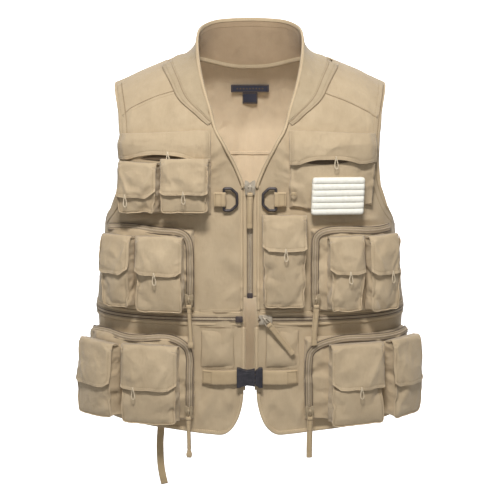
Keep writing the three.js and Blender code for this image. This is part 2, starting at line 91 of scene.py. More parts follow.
def creased(x, y, seed):
    """Sharp little ridges with smooth ground between them, from 0 to 1."""
    x, y = np.asarray(x, float), np.asarray(y, float)
    ridge = (1 - np.abs(noise(x * 0.45 + y * 0.3, y * 1.1 - x * 0.5, seed))) ** 4
    ridge = ridge + 0.5 * (1 - np.abs(noise(x * 1.1, y * 2.4 - x, seed + 1))) ** 5
    return ridge * np.clip(0.35 + 1.2 * noise(x * 0.5, y * 0.5, seed + 2), 0, 1)


def smooth(x, low, high):
    t = np.clip((np.asarray(x, float) - low) / (high - low), 0, 1)
    return t * t * (3 - 2 * t)


def unit(v):
    return v / np.maximum(np.linalg.norm(v, axis=-1, keepdims=True), 1e-9)


def spline(points, steps):
    """A smooth line through a few points, with the same number of steps between each two."""
    points = np.asarray(points, float)
    wide = np.vstack([2 * points[0] - points[1], points, 2 * points[-1] - points[-2]])
    dense = []
    for k in range(len(points) - 1):
        a, b, c, d = wide[k:k + 4]
        for t in np.linspace(0, 1, steps, endpoint=False):
            dense.append(0.5 * (2 * b + (c - a) * t + (2 * a - 5 * b + 4 * c - d) * t ** 2
                                + (3 * b - 3 * c + d - a) * t ** 3))
    return np.vstack([dense, points[-1:]])


def curve_through(points, step):
    """A smooth line through the points, resampled to about step apart."""
    return resample(spline(points, 16), step)


def resample(points, step):
    """The same line with its points evenly spaced, about step apart."""
    run = np.concatenate([[0], np.cumsum(np.linalg.norm(np.diff(points, axis=0), axis=1))])
    count = max(2, int(round(run[-1] / step)) + 1)
    at = np.linspace(0, run[-1], count)
    return np.stack([np.interp(at, run, points[:, k]) for k in range(points.shape[1])], 1)


def evened(path, passes=6):
    for _ in range(passes):
        path = np.vstack([path[:1], (path[:-2] + 2 * path[1:-1] + path[2:]) / 4, path[-1:]])
    return path


def evenly(path, normals, step, passes=0):
    """A line and its normals, both smoothed by some passes and then evenly spaced."""
    both = resample(evened(np.hstack([path, normals]), passes), step)
    return both[:, :3], unit(both[:, 3:])


def repeated(vector, count):
    return np.tile(np.asarray(vector, float), (count, 1))


def stations(rows, level):
    """A value between the (level, value) rows."""
    return np.interp(level, [row[0] for row in rows], [row[1] for row in rows])


# ---- torso ----

def torso(turn, level, out=0.0):
    turn, level, out = np.broadcast_arrays(*(np.asarray(a, float) for a in (turn, level, out)))
    s, c = np.sin(np.radians(turn)), np.cos(np.radians(turn))
    a = np.interp(level, [WAIST_BOTTOM, WAIST_TOP], [HEM_HALF_WIDTH, CHEST_HALF_WIDTH])
    b = np.where(c > 0, FRONT_DEPTH, BACK_DEPTH)
    n = ROUNDNESS
    r = (np.abs(s / a) ** n + np.abs(c / b) ** n) ** (-1 / n)
    x, y = r * s, -r * c
    nx = np.sign(x) * np.abs(x / a) ** (n - 1) / a
    ny = np.sign(y) * np.abs(y / b) ** (n - 1) / b
    size = np.hypot(nx, ny)
    t = np.clip(1 - level / SHOULDER_START, 0, 1)
    line = -SHOULDER_SLOPE * np.maximum(0, np.abs(x) - NECK_SIDE_X)
    z = np.where(level > SHOULDER_START, SHOULDER_START + t * (line - SHOULDER_START), level)
    y = y * np.maximum(0, 1 - t ** SHOULDER_ROUNDNESS) ** (1 / SHOULDER_ROUNDNESS)
    return np.stack([x + nx / size * out, y + ny / size * out, z], -1)


def torso_normal(turn, level):
    turn, level = np.broadcast_arrays(np.asarray(turn, float), np.asarray(level, float))
    top = np.minimum(level + 0.4, -0.01)
    across = torso(turn + 0.4, level) - torso(turn - 0.4, level)
    upward = torso(turn, top) - torso(turn, top - 0.8)
    return unit(np.cross(across, upward))


# Creases of the fronts, as (x, z) at each end, half width and height. Each is on both fronts.
CREASES = [(8, -378, 44, -404, 5, 2.6), (9, -392, 30, -410, 4, 2.2), (14, -352, 40, -330, 9, 1.6),
           (16, -250, 40, -300, 12, 1.8), (60, -262, 88, -290, 9, 1.8), (26, -452, 70, -505, 7, 2.0),
           (20, -560, 60, -600, 10, 1.8), (60, -562, 88, -612, 8, 2.4), (90, -560, 80, -615, 5, 2.0),
           (28, -586, 50, -560, 7, 1.4), (150, -268, 205, -276, 6, 2.4), (120, -272, 170, -279, 4, 1.8),
           (120, -446, 220, -452, 4, 1.6), (70, -441, 150, -447, 3, 1.3), (190, -85, 196, -125, 5, 1.2),
           (70, -118, 100, -124, 5, 1.2), (45, -150, 78, -176, 6, 1.6), (44, -172, 80, -200, 6, 1.5)]


def folds(turn, level):
    """How far the cloth stands off the torso, in mm."""
    p = torso(turn, level)
    g = np.asarray(turn, float) / 90 * QUARTER_GIRTH
    out = 2.8 * noise(g / 52 + level / 95 + 9, level / 120, 3)
    out = out + 1.3 * noise(g / 20 + 4, level / 46 - g / 70, 5)
    front = smooth(-p[..., 1], -10, 30)
    for x0, z0, x1, z1, width, height in CREASES:
        a, d = np.array([x0, z0]), np.array([x1 - x0, z1 - z0])
        x, z = np.abs(p[..., 0]) - a[0], p[..., 2] - a[1]
        t = np.clip((x * d[0] + z * d[1]) / (d @ d), 0, 1)
        off = np.hypot(x - t * d[0], z - t * d[1])
        out = out + 1.5 * front * height * np.exp(-(off / width) ** 2) * np.sin(np.pi * (0.12 + 0.76 * t))
    out = out + 1.8 * creased(np.abs(g) / 60 - level / 90, level / 60 + np.abs(g) / 80, 8)
    out = out * (1 - 0.85 * smooth(level, -75, -45) * smooth(-np.abs(p[..., 0]), -125, -100))
    rim = smooth(level, -640, -618) * (1 - 0.5 * smooth(level, -120, -40))
    return np.clip(out, -1.6, 4.6) * rim


def on_cloth(turn, level, out=0.0):
    """A point on the outside of the shell's cloth."""
    lift = CLOTH + folds(turn, level) + out
    return torso(turn, level) + torso_normal(turn, level) * lift[..., None]


class Place:
    """A frame on the torso: right, up and outward at a turn."""

    def __init__(self, turn, level, out):
        self.origin = torso(turn, level, out)
        self.outward = unit(self.origin - torso(turn, level, out - 1))
        self.right = unit(np.cross([0, 0, 1], self.outward))
        self.up = np.array([0.0, 0.0, 1.0])

    def lean(self, degrees):
        c, s = math.cos(math.radians(degrees)), math.sin(math.radians(degrees))
        right, up = self.right.copy(), self.up.copy()
        self.right, self.up = c * right + s * up, c * up - s * right
        return self

    def at(self, x, y, z):
        x, y, z = np.broadcast_arrays(*(np.asarray(a, float) for a in (x, y, z)))
        return self.origin + x[..., None] * self.right + y[..., None] * self.up + z[..., None] * self.outward

    def local(self, p):
        d = np.asarray(p) - self.origin
        return np.stack([d @ self.right, d @ self.up, d @ self.outward], -1)


# ---- materials ----

def srgb(colour):
    linear = [((c / 255 + 0.055) / 1.055) ** 2.4 if c > 10 else c / 255 / 12.92 for c in colour]
    return (*linear, 1)


class Nodes:
    """A short way to write a node tree."""

    def __init__(self, material):
        if isinstance(material, str):
            material = bpy.data.materials.new(material)
            material.use_nodes = True
        self.material, self.tree = material, material.node_tree
        self.shader = self.tree.nodes["Principled BSDF"]

    def node(self, kind, **settings):
        node = self.tree.nodes.new(kind)
        for key, value in settings.items():
            setattr(node, key, value)
        return node

    def set(self, **sockets):
        for key, value in sockets.items():
            self.shader.inputs[key.replace("_", " ")].default_value = value

    def wire(self, source, target):
        if isinstance(source, (int, float)):
            target.default_value = source
        else:
            self.tree.links.new(source, target)

    def parts(self, vector):
        split = self.node("ShaderNodeSeparateXYZ")
        self.wire(vector, split.inputs[0])
        return split.outputs

    def math(self, operation, a, b=0.0):
        node = self.node("ShaderNodeMath", operation=operation)
        self.wire(a, node.inputs[0])
        self.wire(b, node.inputs[1])
        return node.outputs[0]

    def noise(self, coordinates, scale, detail=3.0, roughness=0.55, stretch=None):
        if stretch:
            mapping = self.node("ShaderNodeMapping")
            self.wire(coordinates, mapping.inputs["Vector"])
            mapping.inputs["Scale"].default_value = stretch
            coordinates = mapping.outputs[0]
        node = self.node("ShaderNodeTexNoise")
        self.wire(coordinates, node.inputs["Vector"])
        node.inputs["Scale"].default_value = scale
        node.inputs["Detail"].default_value = detail
        node.inputs["Roughness"].default_value = roughness
        return node.outputs["Fac"]

    def ramp(self, value, stops):
        node = self.node("ShaderNodeValToRGB")
        self.wire(value, node.inputs[0])
        elements = node.color_ramp.elements
        while len(elements) < len(stops):
            elements.new(0.5)
        for element, (at, colour) in zip(elements, stops):
            element.position, element.color = at, colour
        return node.outputs[0]

    def mix(self, kind, factor, a, b):
        node = self.node("ShaderNodeMix", data_type="RGBA", blend_type=kind)
        self.wire(factor, node.inputs["Factor"])
        self.wire(a, node.inputs[6])
        self.wire(b, node.inputs[7])
        return node.outputs[2]

    def bump(self, height, distance, strength=1.0, below=None):
        node = self.node("ShaderNodeBump")
        node.inputs["Distance"].default_value = distance
        node.inputs["Strength"].default_value = strength
        self.wire(height, node.inputs["Height"])
        if below is not None:
            self.wire(below, node.inputs["Normal"])
        return node.outputs[0]


def cloth_material(name, light, dark, weave=0.0009, crinkle=0.0016, rib=None):
    """Woven cloth: warp and weft, slubs, soft crinkles and a slightly worn colour. rib is (pitch, axis).

    light and dark are the colour's two ends, as 0 to 255 on a screen.
    """
    n = Nodes(name)
    spot = n.node("ShaderNodeTexCoord")
    cloth = n.parts(spot.outputs["UV"])
    turns = 2 * math.pi / weave
    warp = n.math("SINE", n.math("MULTIPLY", cloth["X"], turns))
    weft = n.math("SINE", n.math("MULTIPLY", cloth["Y"], turns))
    threads = n.math("MULTIPLY", warp, weft)
    if rib:
        ribs = n.math("SINE", n.math("MULTIPLY", cloth[rib[1]], 2 * math.pi / rib[0]))
        threads = n.math("ADD", n.math("MULTIPLY", threads, 0.35), ribs)
    slub = n.noise(spot.outputs["UV"], 420, 2, stretch=(1, 0.22, 1))
    patches = n.noise(spot.outputs["Object"], 14, 4)
    wear = n.noise(spot.outputs["Object"], 55, 5, 0.62)
    tone = n.math("ADD", n.math("MULTIPLY", patches, 0.45), n.math("MULTIPLY", wear, 0.35))
    tone = n.math("ADD", tone, n.math("MULTIPLY", slub, 0.2))
    base = n.ramp(tone, [(0.34, srgb(dark)), (0.66, srgb(light))])
    shade = n.ramp(n.math("MULTIPLY_ADD", threads, 0.5), [(0.0, (0.9, 0.89, 0.87, 1)), (1.0, (1, 1, 1, 1))])
    n.wire(n.mix("MULTIPLY", 0.55, base, shade), n.shader.inputs["Base Color"])
    wrinkle = n.noise(spot.outputs["Object"], 46, 6, 0.5, stretch=(1, 1, 0.7))
    ridge = n.math("ABSOLUTE", n.math("SUBTRACT", n.noise(spot.outputs["Object"], 21, 3, 0.45), 0.5))
    ridge = n.math("POWER", n.math("SUBTRACT", 1.0, ridge), 9)
    soft = n.bump(n.math("ADD", wrinkle, n.math("MULTIPLY", ridge, 0.12)), crinkle * 1.7, 1.0)
    fine = n.bump(n.math("ADD", n.math("MULTIPLY", threads, 0.5), slub), 0.00022, 0.8, soft)
    n.wire(fine, n.shader.inputs["Normal"])
    n.wire(n.ramp(slub, [(0.3, (0.6,) * 3 + (1,)), (0.7, (0.78,) * 3 + (1,))]), n.shader.inputs["Roughness"])
    n.set(Sheen_Weight=0.25, Sheen_Roughness=0.5, Specular_IOR_Level=0.3)
    return n.material


def smooth_material(name, light, dark, roughness, metallic=0.0, grain=900, grain_depth=0.00006,
                    specular=0.5):
    """Moulded plastic, enamel or foam: fine grain, faint mottling and rubbed patches."""
    n = Nodes(name)
    spot = n.node("ShaderNodeTexCoord")
    mottle = n.noise(spot.outputs["Object"], 160, 4)
    fine = n.noise(spot.outputs["Object"], grain, 2)
    n.wire(n.ramp(mottle, [(0.35, srgb(dark)), (0.7, srgb(light))]), n.shader.inputs["Base Color"])
    rub = n.ramp(n.math("MULTIPLY_ADD", mottle, 0.6), [(0.2, (roughness * 0.8,) * 3 + (1,)),
                                                      (0.9, (min(1, roughness * 1.2),) * 3 + (1,))])
    n.wire(rub, n.shader.inputs["Roughness"])
    n.wire(n.bump(fine, grain_depth, 0.7), n.shader.inputs["Normal"])
    n.set(Metallic=metallic, Specular_IOR_Level=specular)
    return n.material


KHAKI = cloth_material("khaki_cloth", (200, 180, 149), (186, 165, 134))
# Painted light: the inside of the vest's cloth is given a lighter colour than the outside khaki, standing in
# for light the lamps do not bring there; the low back's inside, lit least, is lighter still.
INSIDE_PAINTED_LIGHT = cloth_material("khaki_lining", (232, 211, 180), (219, 198, 167), crinkle=0.0012)
LOW_INSIDE_PAINTED_LIGHT = cloth_material("khaki_low_lining", (246, 232, 207), (240, 224, 198), crinkle=0.0012)
BINDING = cloth_material("khaki_binding", (209, 188, 155), (196, 174, 141), crinkle=0.0005)
THREAD = cloth_material("khaki_thread", (176, 154, 120), (158, 136, 104), weave=0.0005, crinkle=0.0002)
# Painted shade: the colour of thin strips laid along seams and tape edges as their groove shadows.
SEAM_SHADE = cloth_material("khaki_seam", (164, 141, 110), (146, 124, 95), weave=0.0005, crinkle=0.0002)
COLLAR = cloth_material("khaki_collar", (187, 169, 140), (174, 155, 126))
# Painted shade: the inner side of the collar is given a darker colour than the collar, standing in for the
# shade inside the standing collar.
COLLAR_INSIDE_PAINTED_SHADE = cloth_material("collar_lining", (168, 145, 117), (154, 132, 105), crinkle=0.0009)
# Painted shade: a dark cloth laid where the chest pockets' openings would be in shadow.
MOUTH_PAINTED_SHADE = cloth_material("pocket_mouth", (108, 90, 68), (88, 72, 54), crinkle=0.0006)
WEBBING = cloth_material("khaki_webbing", (197, 175, 141), (180, 158, 124), crinkle=0.0003,
                         rib=(0.0021, "Y"))
TAIL_WEBBING = cloth_material("khaki_tail_webbing", (186, 164, 128), (168, 146, 112), crinkle=0.0003,
                              rib=(0.0018, "X"))
ELASTIC = cloth_material("cream_elastic", (232, 217, 190), (208, 190, 160), weave=0.0006, crinkle=0.0001)
ZIP_TAPE = cloth_material("zip_tape", (180, 161, 134), (166, 148, 122), weave=0.0007, crinkle=0.0003)
ZIP_COIL = smooth_material("zip_coil", (200, 184, 160), (180, 164, 142), 0.5)
# Painted shade: the dark strips beside a zip's coil and at its tape's edges stand in for the shadows in those
# grooves.
ZIP_GROOVE_SHADE = cloth_material("zip_edge", (100, 84, 68), (86, 72, 58), weave=0.0005, crinkle=0.0002)
END_STOP = smooth_material("zip_end_stop", (84, 72, 68), (62, 54, 54), 0.5)
ENAMEL = smooth_material("khaki_enamel", (184, 166, 138), (158, 141, 114), 0.42, 0.2)
BRIGHT = smooth_material("worn_nickel", (206, 195, 176), (176, 164, 146), 0.42, 0.45)
GUNMETAL = smooth_material("gunmetal", (90, 84, 84), (64, 60, 61), 0.4, 0.5)
NYLON = smooth_material("black_nylon", (62, 60, 66), (44, 43, 49), 0.42, grain=1500,
                        grain_depth=0.00012)
FOAM = smooth_material("white_foam", (246, 244, 234), (236, 233, 221), 0.85, grain=700,
                       grain_depth=0.00006, specular=0.2)
LABEL = cloth_material("navy_label", (66, 70, 90), (52, 55, 74), weave=0.0008, crinkle=0.0002,
                       rib=(0.0012, "Y"))
LABEL_EDGE = cloth_material("label_border", (120, 102, 74), (98, 82, 60), weave=0.0008, crinkle=0.0002)


# ---- meshes ----

def read(items, key, kind=float):
    """One property of a mesh's items: a vector each, or a whole number each when kind is int."""
    values = np.empty(len(items) * (3 if kind is float else 1), kind)
    items.foreach_get(key, values)
    return values.reshape(-1, 3) if kind is float else values


def box_uv(mesh):
    """Lays each face on its main plane, in metres, so that a weave has its real scale."""
    corner = read(mesh.loops, "vertex_index", int)
    totals = read(mesh.polygons, "loop_total", int)
    main = np.abs(read(mesh.polygons, "normal")).argmax(1).repeat(totals)
    p = read(mesh.vertices, "co")[corner]
    u = np.where(main == 0, p[:, 1], p[:, 0])
    v = np.where(main == 2, p[:, 1], p[:, 2])
    layer = mesh.uv_layers.get("weave") or mesh.uv_layers.new(name="weave")
    layer.data.foreach_set("uv", np.stack([u, v], 1).ravel())


def new_piece(name, points, faces, material, body="vest", slot="khaki_cloth", replaces=(), sharp=None):
    mesh = bpy.data.meshes.new(name)
    mesh.from_pydata((np.asarray(points, float) * MM).tolist(), [], [list(map(int, f)) for f in faces])
    work = bmesh.new()
    work.from_mesh(mesh)
    bmesh.ops.recalc_face_normals(work, faces=work.faces)
    work.to_mesh(mesh)
    work.free()
    mesh.shade_smooth()
    if sharp:
        mesh.set_sharp_from_angle(angle=math.radians(sharp))
    box_uv(mesh)
    mesh.materials.append(material)
    piece = bpy.data.objects.new(name, mesh)
    scene.collection.objects.link(piece)
    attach(piece, body)
    if replaces:
        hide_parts(*replaces)
    return piece


class Parts:
    """Several closed bodies gathered into one piece."""

    def __init__(self):
        self.points, self.faces, self.count = [], [], 0

    def add(self, made):
        points, faces = made
        self.points.append(np.asarray(points, float).reshape(-1, 3))
        self.faces += [[i + self.count for i in f] for f in faces]
        self.count += len(self.points[-1])
        return self

    def piece(self, name, material, **settings):
        return new_piece(name, np.vstack(self.points), self.faces, material, **settings)


def shell(outer, inner):
    """A closed sheet between two grids of points."""
    n, m, _ = outer.shape
    index = np.arange(n * m).reshape(n, m)
    quads = np.stack([index[:-1, :-1], index[1:, :-1], index[1:, 1:], index[:-1, 1:]], -1).reshape(-1, 4)
    rim = np.concatenate([index[0, :-1], index[:-1, -1], index[-1, :0:-1], index[:0:-1, 0]])
    after = np.roll(rim, -1)
    sides = np.stack([rim, after, after + n * m, rim + n * m], -1)
    faces = np.vstack([quads, quads[:, ::-1] + n * m, sides])
    return np.vstack([outer.reshape(-1, 3), inner.reshape(-1, 3)]), faces.tolist()


def loft(path, across, up, section, closed=False):
    """Sweeps a closed section, (k, 2) or one for each point of the path, along a line."""
    path = np.asarray(path, float)
    section = np.asarray(section, float)
    if section.ndim == 2:
        section = np.broadcast_to(section, (len(path),) + section.shape)
    points = path[:, None] + across[:, None] * section[..., :1] + up[:, None] * section[..., 1:]
    n, k = points.shape[:2]
    index = np.arange(n * k).reshape(n, k)
    turned = np.roll(index, -1, 1)
    rows = n if closed else n - 1
    faces = []
    for i in range(rows):
        j = (i + 1) % n
        faces += np.stack([index[i], turned[i], turned[j], index[j]], -1).tolist()
    if not closed:
        faces += [index[0][::-1].tolist(), index[-1].tolist()]
    return points.reshape(-1, 3), faces


def along(path, closed=False):
    if closed:
        return unit(np.roll(path, -1, 0) - np.roll(path, 1, 0))
    return unit(np.gradient(path, axis=0))


def sideways(path, normals):
    """The direction across a line, on the surface that the normals stand on."""
    return unit(np.cross(normals, along(path)))


def grid_normals(grid):
    return unit(np.cross(np.gradient(grid, axis=0), np.gradient(grid, axis=1)))


def circle(radius, sides=8):
    turn = np.linspace(0, 2 * math.pi, sides, endpoint=False)
    return radius * np.stack([np.cos(turn), np.sin(turn)], 1)


def flat_section(width, thickness, crown=0.0, columns=6):
    """A flat strip's section with soft edges, its back at 0, its face bowed out by crown."""
    x = np.linspace(-1, 1, columns + 1)
    face = thickness * (0.55 + 0.45 * np.sqrt(np.maximum(0, 1 - np.abs(x) ** 6))) + crown * (1 - x ** 2)
    top = np.stack([x * width / 2, face], 1)
    bottom = np.stack([x[::-1] * width / 2, np.zeros(columns + 1)], 1)
    return np.vstack([top, bottom])


def swept(path, normals, section, closed=False):
    """A section swept along a line, its up kept to the normals."""
    t = along(path, closed)
    up = unit(normals - (normals * t).sum(-1, keepdims=True) * t)
    return loft(path, np.cross(t, up), up, section, closed)


def tube(path, radius, normals, sides=8, closed=False):
    return swept(path, normals, circle(radius, sides), closed)


def strip(path, normals, width, thickness, crown=0.0, columns=6):
    return swept(path, normals, flat_section(width, thickness, crown, columns))


STITCH = np.array([(-1, 0, 0.2), (-0.55, -1, 0), (-0.55, 0, 1), (-0.55, 1, 0), (-0.55, 0, -1),
                   (0.55, -1, 0), (0.55, 0, 1), (0.55, 1, 0), (0.55, 0, -1), (1, 0, 0.2)])
STITCH_FACES = [(0, 1, 2), (0, 2, 3), (0, 3, 4), (0, 4, 1), (1, 5, 6, 2), (2, 6, 7, 3), (3, 7, 8, 4),
                (4, 8, 5, 1), (9, 6, 5), (9, 7, 6), (9, 8, 7), (9, 5, 8)]
threads = {}


def stitch(path, normals, body="vest", pitch=3.4, size=(1.25, 0.36, 0.3), shift=0.0):
    """Stitches along a line, collected for the body that they ride on. shift moves the row sideways."""
    path, normals = np.asarray(path, float), np.asarray(normals, float)
    path, normals = evenly(path, normals, pitch)
    t, side = along(path), sideways(path, normals)
    centre = path + side * shift
    box = STITCH * size
    points = (centre[:, None] + t[:, None] * box[:, :1] + side[:, None] * box[:, 1:2]
              + normals[:, None] * box[:, 2:])
    parts = threads.setdefault(body, Parts())
    for row in points:
        parts.add((row, STITCH_FACES))


def stitch_pair(path, normals, shift, **settings):
    """Two rows of stitches, at shift and at -shift."""
    for way in (shift, -shift):
        stitch(path, normals, shift=way, **settings)


def prism(outline, low, high, place):
    """An outline in a place's right and up, between two heights outward."""
    n = len(outline)
    points = np.vstack([place.at(*outline.T, low), place.at(*outline.T, high)])
    faces = [list(range(n))[::-1], list(range(n, 2 * n))]
    faces += [[i, (i + 1) % n, n + (i + 1) % n, n + i] for i in range(n)]
    return points, faces


def bevelled(piece, width, segments=3, angle=35):
    bevel = piece.modifiers.new("bevel", "BEVEL")
    bevel.width, bevel.segments, bevel.limit_method = width * MM, segments, "ANGLE"
    bevel.angle_limit = math.radians(angle)


def rounded(outline, radius, steps=4):
    """The closed outline with each corner replaced by an arc."""
    outline = np.asarray(outline, float)
    made = []
    for k, corner in enumerate(outline):
        before, after = outline[k - 1] - corner, outline[(k + 1) % len(outline)] - corner
        reach = min(radius, 0.48 * np.linalg.norm(before), 0.48 * np.linalg.norm(after))
        a, b = corner + unit(before) * reach, corner + unit(after) * reach
        for t in np.linspace(0, 1, steps + 1):
            made.append((1 - t) ** 2 * a + 2 * t * (1 - t) * corner + t * t * b)
    return np.array(made)


def prisms(layers, place):
    """Parts from rows of an outline and its two heights."""
    parts = Parts()
    for outline, low, high in layers:
        parts.add(prism(outline, low, high, place))
    return parts


def rounded_box(x0, y0, x1, y1, radius, steps=4):
    return rounded([(x0, y0), (x1, y0), (x1, y1), (x0, y1)], radius, steps)


def wire_ring(outline, height, radius, sides, place):
    """A closed round wire along an outline in a place's right and up."""
    line = place.at(*outline.T, height)
    return tube(line, radius, repeated(place.outward, len(line)), sides, closed=True)


def arched(path, across, section):
    """A section swept along an arch, its width kept in one direction."""
    return loft(path, repeated(across, len(path)), np.cross(along(path), across), section)


# ---- camera, then the one free cord ----

camera_data = bpy.data.cameras.new("camera")
camera_data.lens, camera_data.sensor_width = 106.6, 36
camera = bpy.data.objects.new("camera", camera_data)
camera.location = (0, -2.5, 0.12)
camera.rotation_euler = (math.radians(79.5), 0, 0)
scene.collection.objects.link(camera)
scene.camera = camera

TAIL_ROUTE = [(-149, -106, -597), (-149, -106, -612), (-150, -106, -632), (-151.5, -106, -652),
              (-151.5, -106, -672), (-150.5, -106, -692), (-148, -106, -710), (-144.5, -106, -726)]


def strap_tail():
    path = curve_through(TAIL_ROUTE, 3)
    count = len(path)
    share = np.linspace(0, 1, count)
    path = path + np.outer(0.8 * np.sin(share * 5) * share, [0, 1, 0])
    facing = repeated([0, -1, 0], count)
    section = flat_section(12, 1.7, 0.15, 8) - [0, 0.85]
    piece = new_piece("strap_tail_webbing", *swept(path, facing, section), TAIL_WEBBING, slot="webbing",
                      replaces=["strap_tail"])
    hem = path[-4:-1]
    stitch(np.array([hem[0] + [-5, -1.3, 0], hem[0] + [5, -1.3, 0]]), facing[:2], pitch=2.4)


strap_tail()


# ---- shell: fronts, back and collar ----

# How far the panels follow the shoulder's curve, in degrees; at 90 front and back would meet.
TOP_TURN = 89


def row_level(v, hem, top_turn):
    """Level at a share of a panel's height: straight to the armhole, then up and over the shoulder."""
    armhole, shoulder, top = 4, 12, 18
    row = np.asarray(v, float) * top
    share = np.clip((row - shoulder) / (top - shoulder), 0, 1)
    rise = np.sin(np.radians(top_turn * share)) ** (2 / SHOULDER_ROUNDNESS)
    low = hem + (ARMHOLE_BOTTOM - hem) * np.clip(row / armhole, 0, 1)
    share = np.clip((row - armhole) / (shoulder - armhole), 0, 1)
    middle = ARMHOLE_BOTTOM + (SHOULDER_START - ARMHOLE_BOTTOM) * share
    return np.where(row <= armhole, low, np.where(row <= shoulder, middle, SHOULDER_START * (1 - rise)))


def hem_level(girth):
    across, rise = HEM_CORNER
    straight = FRONT_EDGE_X + across
    dip = rise * np.sqrt(np.maximum(0, 1 - (np.maximum(0, straight - girth) / across) ** 2))
    share = np.clip((girth - straight) / (QUARTER_GIRTH - straight), 0, 1)
    slope = HEM_FRONT + (HEM_SIDE - HEM_FRONT) * share ** 1.25
    return np.where(girth < straight, HEM_FRONT + rise - dip, slope)


def lined_piece(name, outer, inner, cloth, lining, node):
    """A closed sheet with another material on its inner side."""
    piece = new_piece(name, *shell(outer, inner), cloth, replaces=[node])
    piece.data.materials.append(lining)
    cells = (outer.shape[0] - 1) * (outer.shape[1] - 1)
    inside = np.zeros(len(piece.data.polygons), int)
    inside[cells:2 * cells] = 1
    piece.data.polygons.foreach_set("material_index", inside)
    return piece


def cloth_panel(name, turn, level, node):
    """A lined cloth panel over a grid of turns and levels, thicker at its sewn edges."""
    normal = torso_normal(turn, level)
    lift = folds(turn, level)
    rows, columns = turn.shape
    i, j = np.arange(rows)[:, None], np.arange(columns)[None, :]
    outer = torso(turn, level) + normal * (CLOTH + lift)[..., None]
    inner = torso(turn, level) + normal * (0.6 + lift)[..., None]
    edge = np.minimum(np.minimum(i, rows - 1 - i), np.minimum(j, columns - 1 - j))
    inner -= normal * (0.5 * (edge == 1))[..., None]
    # The lower back's inside gets the lightest colour: painted light where only bounced light reaches.
    lining = LOW_INSIDE_PAINTED_LIGHT if node == "lower_back_panel" else INSIDE_PAINTED_LIGHT
    lined_piece(name, outer, inner, KHAKI, lining, node)


def front_turn(level, share):
    """The turn at a share of the left front's width, from its front edge to the armhole or the side seam."""
    return stations(NECKLINE, level) + (stations(ARMHOLE, level) - stations(NECKLINE, level)) * share


def front_panel(side, name, node):
    u, v = np.meshgrid(np.linspace(0, 1, 112), np.linspace(0, 1, 190), indexing="ij")
    share = u ** 1.5
    level = row_level(v, hem_level(FRONT_EDGE_X + (QUARTER_GIRTH - FRONT_EDGE_X) * share), TOP_TURN)
    cloth_panel(name, side * front_turn(level, share), level, node)


def back_grid(bottom):
    u, v = np.meshgrid(np.linspace(0, 1, 170), np.linspace(0, 1, 150), indexing="ij")
    across = 2 * u - 1
    neck = np.minimum(1, np.abs(across) * ARMHOLE[-1][1] / NECK_TURN)
    rise = 1 + BACK_NECK_DROP * (1 - neck ** 3) / SHOULDER_START
    top = np.minimum(TOP_TURN, np.degrees(np.arcsin(rise ** (SHOULDER_ROUNDNESS / 2))))
    level = row_level(v, bottom, top)
    return 180 + across * stations(ARMHOLE, level), level


front_panel(-1, "right_front_cloth", "right_front_panel")
front_panel(1, "left_front_cloth", "left_front_panel")
back_turn, back_level = back_grid(WAIST_SEAM + GAP)
cloth_panel("back_cloth", back_turn, back_level, "back_panel")
low_u, low_v = np.meshgrid(np.linspace(-1, 1, 150), np.linspace(0, 1, 50), indexing="ij")
low_level = HEM_SIDE + (WAIST_SEAM - GAP - HEM_SIDE) * low_v
cloth_panel("lower_back_cloth", 180 + low_u * stations(ARMHOLE, low_level), low_level, "lower_back_panel")

SEAM_TURNS = [(27.4, -113), (31, -104), (40, -74.4), (44.6, -38), (48, -4)]
BACK_SEAM_TURNS = [(45, -3), (33, -20.5), (15, -31)]
LAP_TURNS = [(29.0, -118.5), (34.6, -106), (43.8, -76.5), (48.6, -40), (52.5, -8)]
BACK_LAP_TURNS = [(50, -12), (35, -33), (16, -43), (0, -44)]
COLLAR_STEPS = 12
COLLAR_EDGE = [(57, -118, -113), (64, -105, -90), (75, -82, -55), (83, -50, -19), (85.5, -16, 15),
               (80, 16, 35), (59, 40, 45), (30, 51, 48), (0, 54, 49)]


def collar_lines():
    """The collar's lap on the panels, its seam and its edge, from the left round the back to the right."""
    seam = [torso(turn - 0.8, level, 1) for turn, level in SEAM_TURNS]
    seam += [torso(180 - turn, level, -1) for turn, level in BACK_SEAM_TURNS]
    seam += [torso(180, -BACK_NECK_DROP + 4, -1)]
    lap = [torso(turn, level, CLOTH + 1.2) for turn, level in LAP_TURNS]
    lap += [torso(180 - turn, level, CLOTH) for turn, level in BACK_LAP_TURNS]
    lines = []
    for line in (np.array(lap), np.array(seam), np.array(COLLAR_EDGE, float)):
        lines.append(spline(np.vstack([line, (line[:-1] * [-1, 1, 1])[::-1]]), COLLAR_STEPS))
    # The lap follows the panels' own folds, except over the shoulder ridges.
    lap = lines[0]
    turn, level = spline(LAP_TURNS, COLLAR_STEPS).T
    lap[:len(turn)] = on_cloth(turn, level, 1.0)
    lap[-len(turn):] = on_cloth(-turn, level, 1.0)[::-1]
    turn, level = spline(BACK_LAP_TURNS, COLLAR_STEPS).T
    middle = len(lap) // 2
    lap[middle + 1 - len(turn):middle + 1] = on_cloth(180 - turn, level, 1.0)
    lap[middle:middle + len(turn)] = on_cloth(180 + turn, level, 1.0)[::-1]
    return lines


